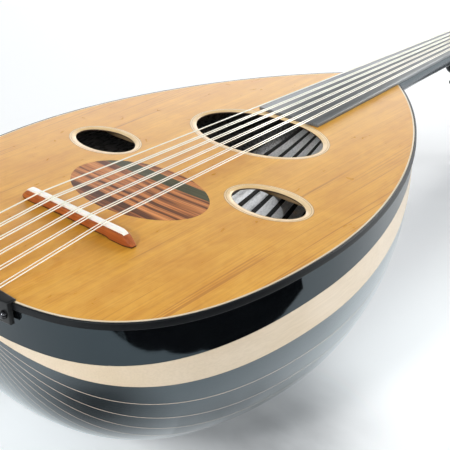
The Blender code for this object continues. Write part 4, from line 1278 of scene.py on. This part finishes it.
for number, (bridge_y, _, diameter) in enumerate(lanes, 1):
    radius = diameter / 2
    course = min(COURSE_AT_BRIDGE, key=lambda value: abs(value - bridge_y))
    y = course * TAIL_SPREAD
    start_x = face_x(y, TAILPIECE_OFFSET) - radius - HAIR
    start_y = bridge_y * TAIL_SPREAD
    face = face_x(y, rail_out) - radius - 0.0004
    lead = -1 if bridge_y < course else 1
    depth = face if lead > 0 else face - 2.2 * radius
    ring = STUD_RADIUS + radius + 0.00005
    path = [Vector((start_x, start_y, STRING_START_Z)), Vector((face, start_y, RAIL_HIGH - 0.0002))]
    for angle in full_turn(20)[:-1]:
        path.append(Vector((depth, y + lead * ring * cos(angle), stud_z - ring * sin(angle))))
    piece(f"string_loop_{number:02d}", tube(path, radius, 8),
          WOUND if number <= WOUND_STRINGS else NYLON, "string_nylon", smooth=80)

SCREW_COLLAR, SCREW_DOME = 0.001, 0.0026    # heights of the screw's straight and domed parts
screw_profile = [(AXIS_RADIUS, 0.0), (SCREW_RADIUS, 0.0)]
for k in range(9):
    turn = pi / 2 * k / 8
    screw_profile.append((max(SCREW_RADIUS * cos(turn), AXIS_RADIUS),
                          SCREW_COLLAR + SCREW_DOME * sin(turn)))
for label, side in SIDES:
    place = at(face_x(SCREW_Y, TAILPIECE_OFFSET) - HAIR, side * SCREW_Y, SCREW_Z)
    piece("tail_button_" + label, turned(screw_profile), BLUED_STEEL, "dark_steel",
          "tail_screw_" + label, place=place @ FACING_TAIL)

# --- Stage: floor, light and camera ---


def pool(g, middle_x, middle_y, reach_x, reach_y):
    """1 at the middle of a soft oval on the floor, 0 beyond its reach."""
    x, y, _ = g.split(g.place)
    across = g.times(g.plus(x, -middle_x), 1 / reach_x)
    along = g.times(g.plus(y, -middle_y), 1 / reach_y)
    away = g.math("SQRT", g.plus(g.times(across, across), g.times(along, along)))
    return g.ramp(away, [(0.0, 1.0), (0.3, 0.86), (0.6, 0.42), (0.85, 0.09), (1.0, 0.0)])


def floor_material(name, patch, low, high, shade):
    """A pale floor with painted light and shadow: it glows in soft pools beside the instrument and
    is darker in one oval patch of painted shadow.
    """
    g = Graph(name)
    cloud = g.noise((1.2, 1.2, 1.2))
    pale = g.ramp(cloud, [(0.3, (0.93, 0.94, 0.95)), (0.7, (0.95, 0.96, 0.97))])
    # Painted light: the floor glows in soft pools beside the instrument and broadly round the
    # middle, though no lamp is there.
    glow = g.level(pool(g, 0.0, -0.18, 0.3, 0.15), 0.05, 0.25)
    glow = g.plus(glow, g.times(pool(g, -0.335, 0.03, 0.14, 0.14), 0.2))
    glow = g.plus(glow, g.level(pool(g, 0.0, 0.0, 5.5, 5.5), 0.55, 0.0))
    # Painted shadow: the oval patch turns towards the shade colour, mottled by noise, and glows
    # less there.
    painted_shade_mottle = g.noise((30.0, 16.0, 1.0), (0.3, 0.6, 0), detail=4.0)
    share = g.times(pool(g, *patch), g.level(painted_shade_mottle, low, high))
    lit = g.plus(g.times(share, -1.0), 1.0)
    g.put(g.shader.inputs["Emission Strength"], g.times(glow, lit))
    return g.finish(g.mix(share, pale, shade), 0.75, emission_color=(0.84, 0.96, 1.0))


def stage_floor():
    shape = bmesh.new()
    bmesh.ops.create_grid(shape, x_segments=1, y_segments=1, size=6.0)
    mesh = finished(shape, "floor", outward=False)
    # The floor's painted shadow patch sits under the bowl's belly.
    mesh.materials.append(floor_material("floor", (-0.218, -0.138, 0.13, 0.1), 0.3, 0.85,
                                         (0.16, 0.17, 0.18)))
    floor = added("floor", mesh)
    floor.location = (0, 0, -GAP)


def soft_light(name, place, aim, size, watts, color):
    lamp = bpy.data.lights.new(name, "AREA")
    lamp.shape = "RECTANGLE"
    lamp.size, lamp.size_y = size
    lamp.energy = watts
    lamp.color = color
    light = added(name, lamp)
    light.location = place
    light.rotation_euler = (Vector(aim) - Vector(place)).to_track_quat("-Z", "Y").to_euler()
    light.visible_camera = False


def beam(name, aim, azimuth, elevation, distance, width, watts):
    """A narrow beam onto one spot."""
    lamp = bpy.data.lights.new(name, "SPOT")
    lamp.spot_size = 2 * atan(width / 2 / distance)
    lamp.spot_blend = 0.35
    lamp.shadow_soft_size = 0.02
    lamp.energy = watts
    light = added(name, lamp)
    toward = Vector((cos(elevation) * cos(azimuth), cos(elevation) * sin(azimuth), sin(elevation)))
    light.location = aim + distance * toward
    light.rotation_euler = (-toward).to_track_quat("-Z", "Y").to_euler()


def stage_card(name, corners, material):
    """A card just above the floor that only shiny surfaces see: a painted reflection."""
    mesh = bpy.data.meshes.new(name)
    mesh.from_pydata([(x, y, 0.001) for x, y in corners], [], [range(len(corners))])
    mesh.materials.append(material)
    card = added(name, mesh)
    card.visible_camera = card.visible_diffuse = card.visible_shadow = False


# Near black and matte: the colour of the painted dark reflection.
def painted_dark_reflection():
    g = Graph("painted_dark_reflection")
    weave = g.noise((300.0, 300.0, 300.0))
    return g.finish(g.ramp(weave, [(0.3, 0.001), (0.7, 0.002)]), 1.0, specular_ior_level=0.0)


def studio_sky():
    """White all round: brighter near the horizon, like pale walls under a dimmer ceiling."""
    world = bpy.data.worlds.new("studio")
    bpy.context.scene.world = world
    world.use_nodes = True
    nodes, links = world.node_tree.nodes, world.node_tree.links
    direction = nodes.new("ShaderNodeTexCoord").outputs["Generated"]
    parts = nodes.new("ShaderNodeSeparateXYZ")
    links.new(direction, parts.inputs[0])
    band = nodes.new("ShaderNodeValToRGB")
    for element, (height, strength) in zip(band.color_ramp.elements, ((0.34, 1.0), (0.55, 0.28))):
        element.position = height
        element.color = (0.94 * strength, 0.97 * strength, strength, 1.0)
    links.new(parts.outputs[2], band.inputs[0])
    links.new(band.outputs[0], nodes["Background"].inputs["Color"])
    nodes["Background"].inputs["Strength"].default_value = 1.0


stage_floor()
# Painted shadow for reflections only: floor-coloured at its rim and near black at its middle, so
# the low ribs by the tail mirror a shaded floor.
stage_card("painted_shadow_card", [(-0.58, -0.27), (-0.36, -0.27), (-0.29, -0.1), (-0.29, 0.07),
                         (-0.58, 0.07)],
           floor_material("painted_shadow_floor", (-0.436, -0.1, 0.135, 0.165), 0.9, 0.99,
                          (0.01, 0.011, 0.012)))
# A painted dark reflection: the side rib mirrors this near-black card beyond the instrument's near
# side, standing in for dark surroundings.
stage_card("dark_edge", [(-0.674, -0.161), (-0.555, -0.263), (-0.442, -0.341), (-0.325, -0.371),
                         (-0.115, -0.359), (-0.044, -0.364), (-0.008, -0.419), (0.25, -1.1),
                         (1.0, -3.1), (-4.5, -1.8)], painted_dark_reflection())
studio_sky()
soft_light("window", (2.2, 0.3, 1.7), (0.0, 0.0, 0.1), (1.1, 0.8), 29, (1.0, 0.985, 0.96))
soft_light("far_wall", (2.1, 2.1, 0.95), (0.0, 0.0, 0.2), (2.6, 0.7), 19, (1.0, 0.97, 0.98))
FILL = (1.0, 0.99, 0.98)
soft_light("tail_fill", (-1.66, -0.24, 1.13), (0.03, 0.05, 0.1), (0.35, 0.35), 15, FILL)
soft_light("front", (-1.2, -1.2, 1.25), (0.0, 0.0, 0.1), (0.3, 0.3), 5, FILL)
soft_light("near_fill", (2.0, -1.6, 0.4), (0.1, 0.0, 0.0), (1.0, 0.6), 31, FILL)
beam("through_hole", TAIL + Vector((0.318, -0.012, 0)), radians(-120), radians(50), distance=1.8,
     width=0.074, watts=110)

CAMERA_PLACE = Vector((-0.2692, -0.5166, 0.3302))
CAMERA_AIM = Vector((0.1667, -0.095, 0.0))
CAMERA_ROLL = radians(-2.13)
camera_data = bpy.data.cameras.new("camera")
camera_data.lens = 75.26
camera_data.sensor_width = 36.0
camera_data.clip_start = 0.02
camera = added("camera", camera_data)
camera.location = TAIL + CAMERA_PLACE
aim = (CAMERA_AIM - CAMERA_PLACE).to_track_quat("-Z", "Y").to_matrix().to_4x4()
camera.rotation_euler = (aim @ Matrix.Rotation(CAMERA_ROLL, 4, "Z")).to_euler()
bpy.context.scene.camera = camera
bpy.context.scene.view_settings.view_transform = "Standard"
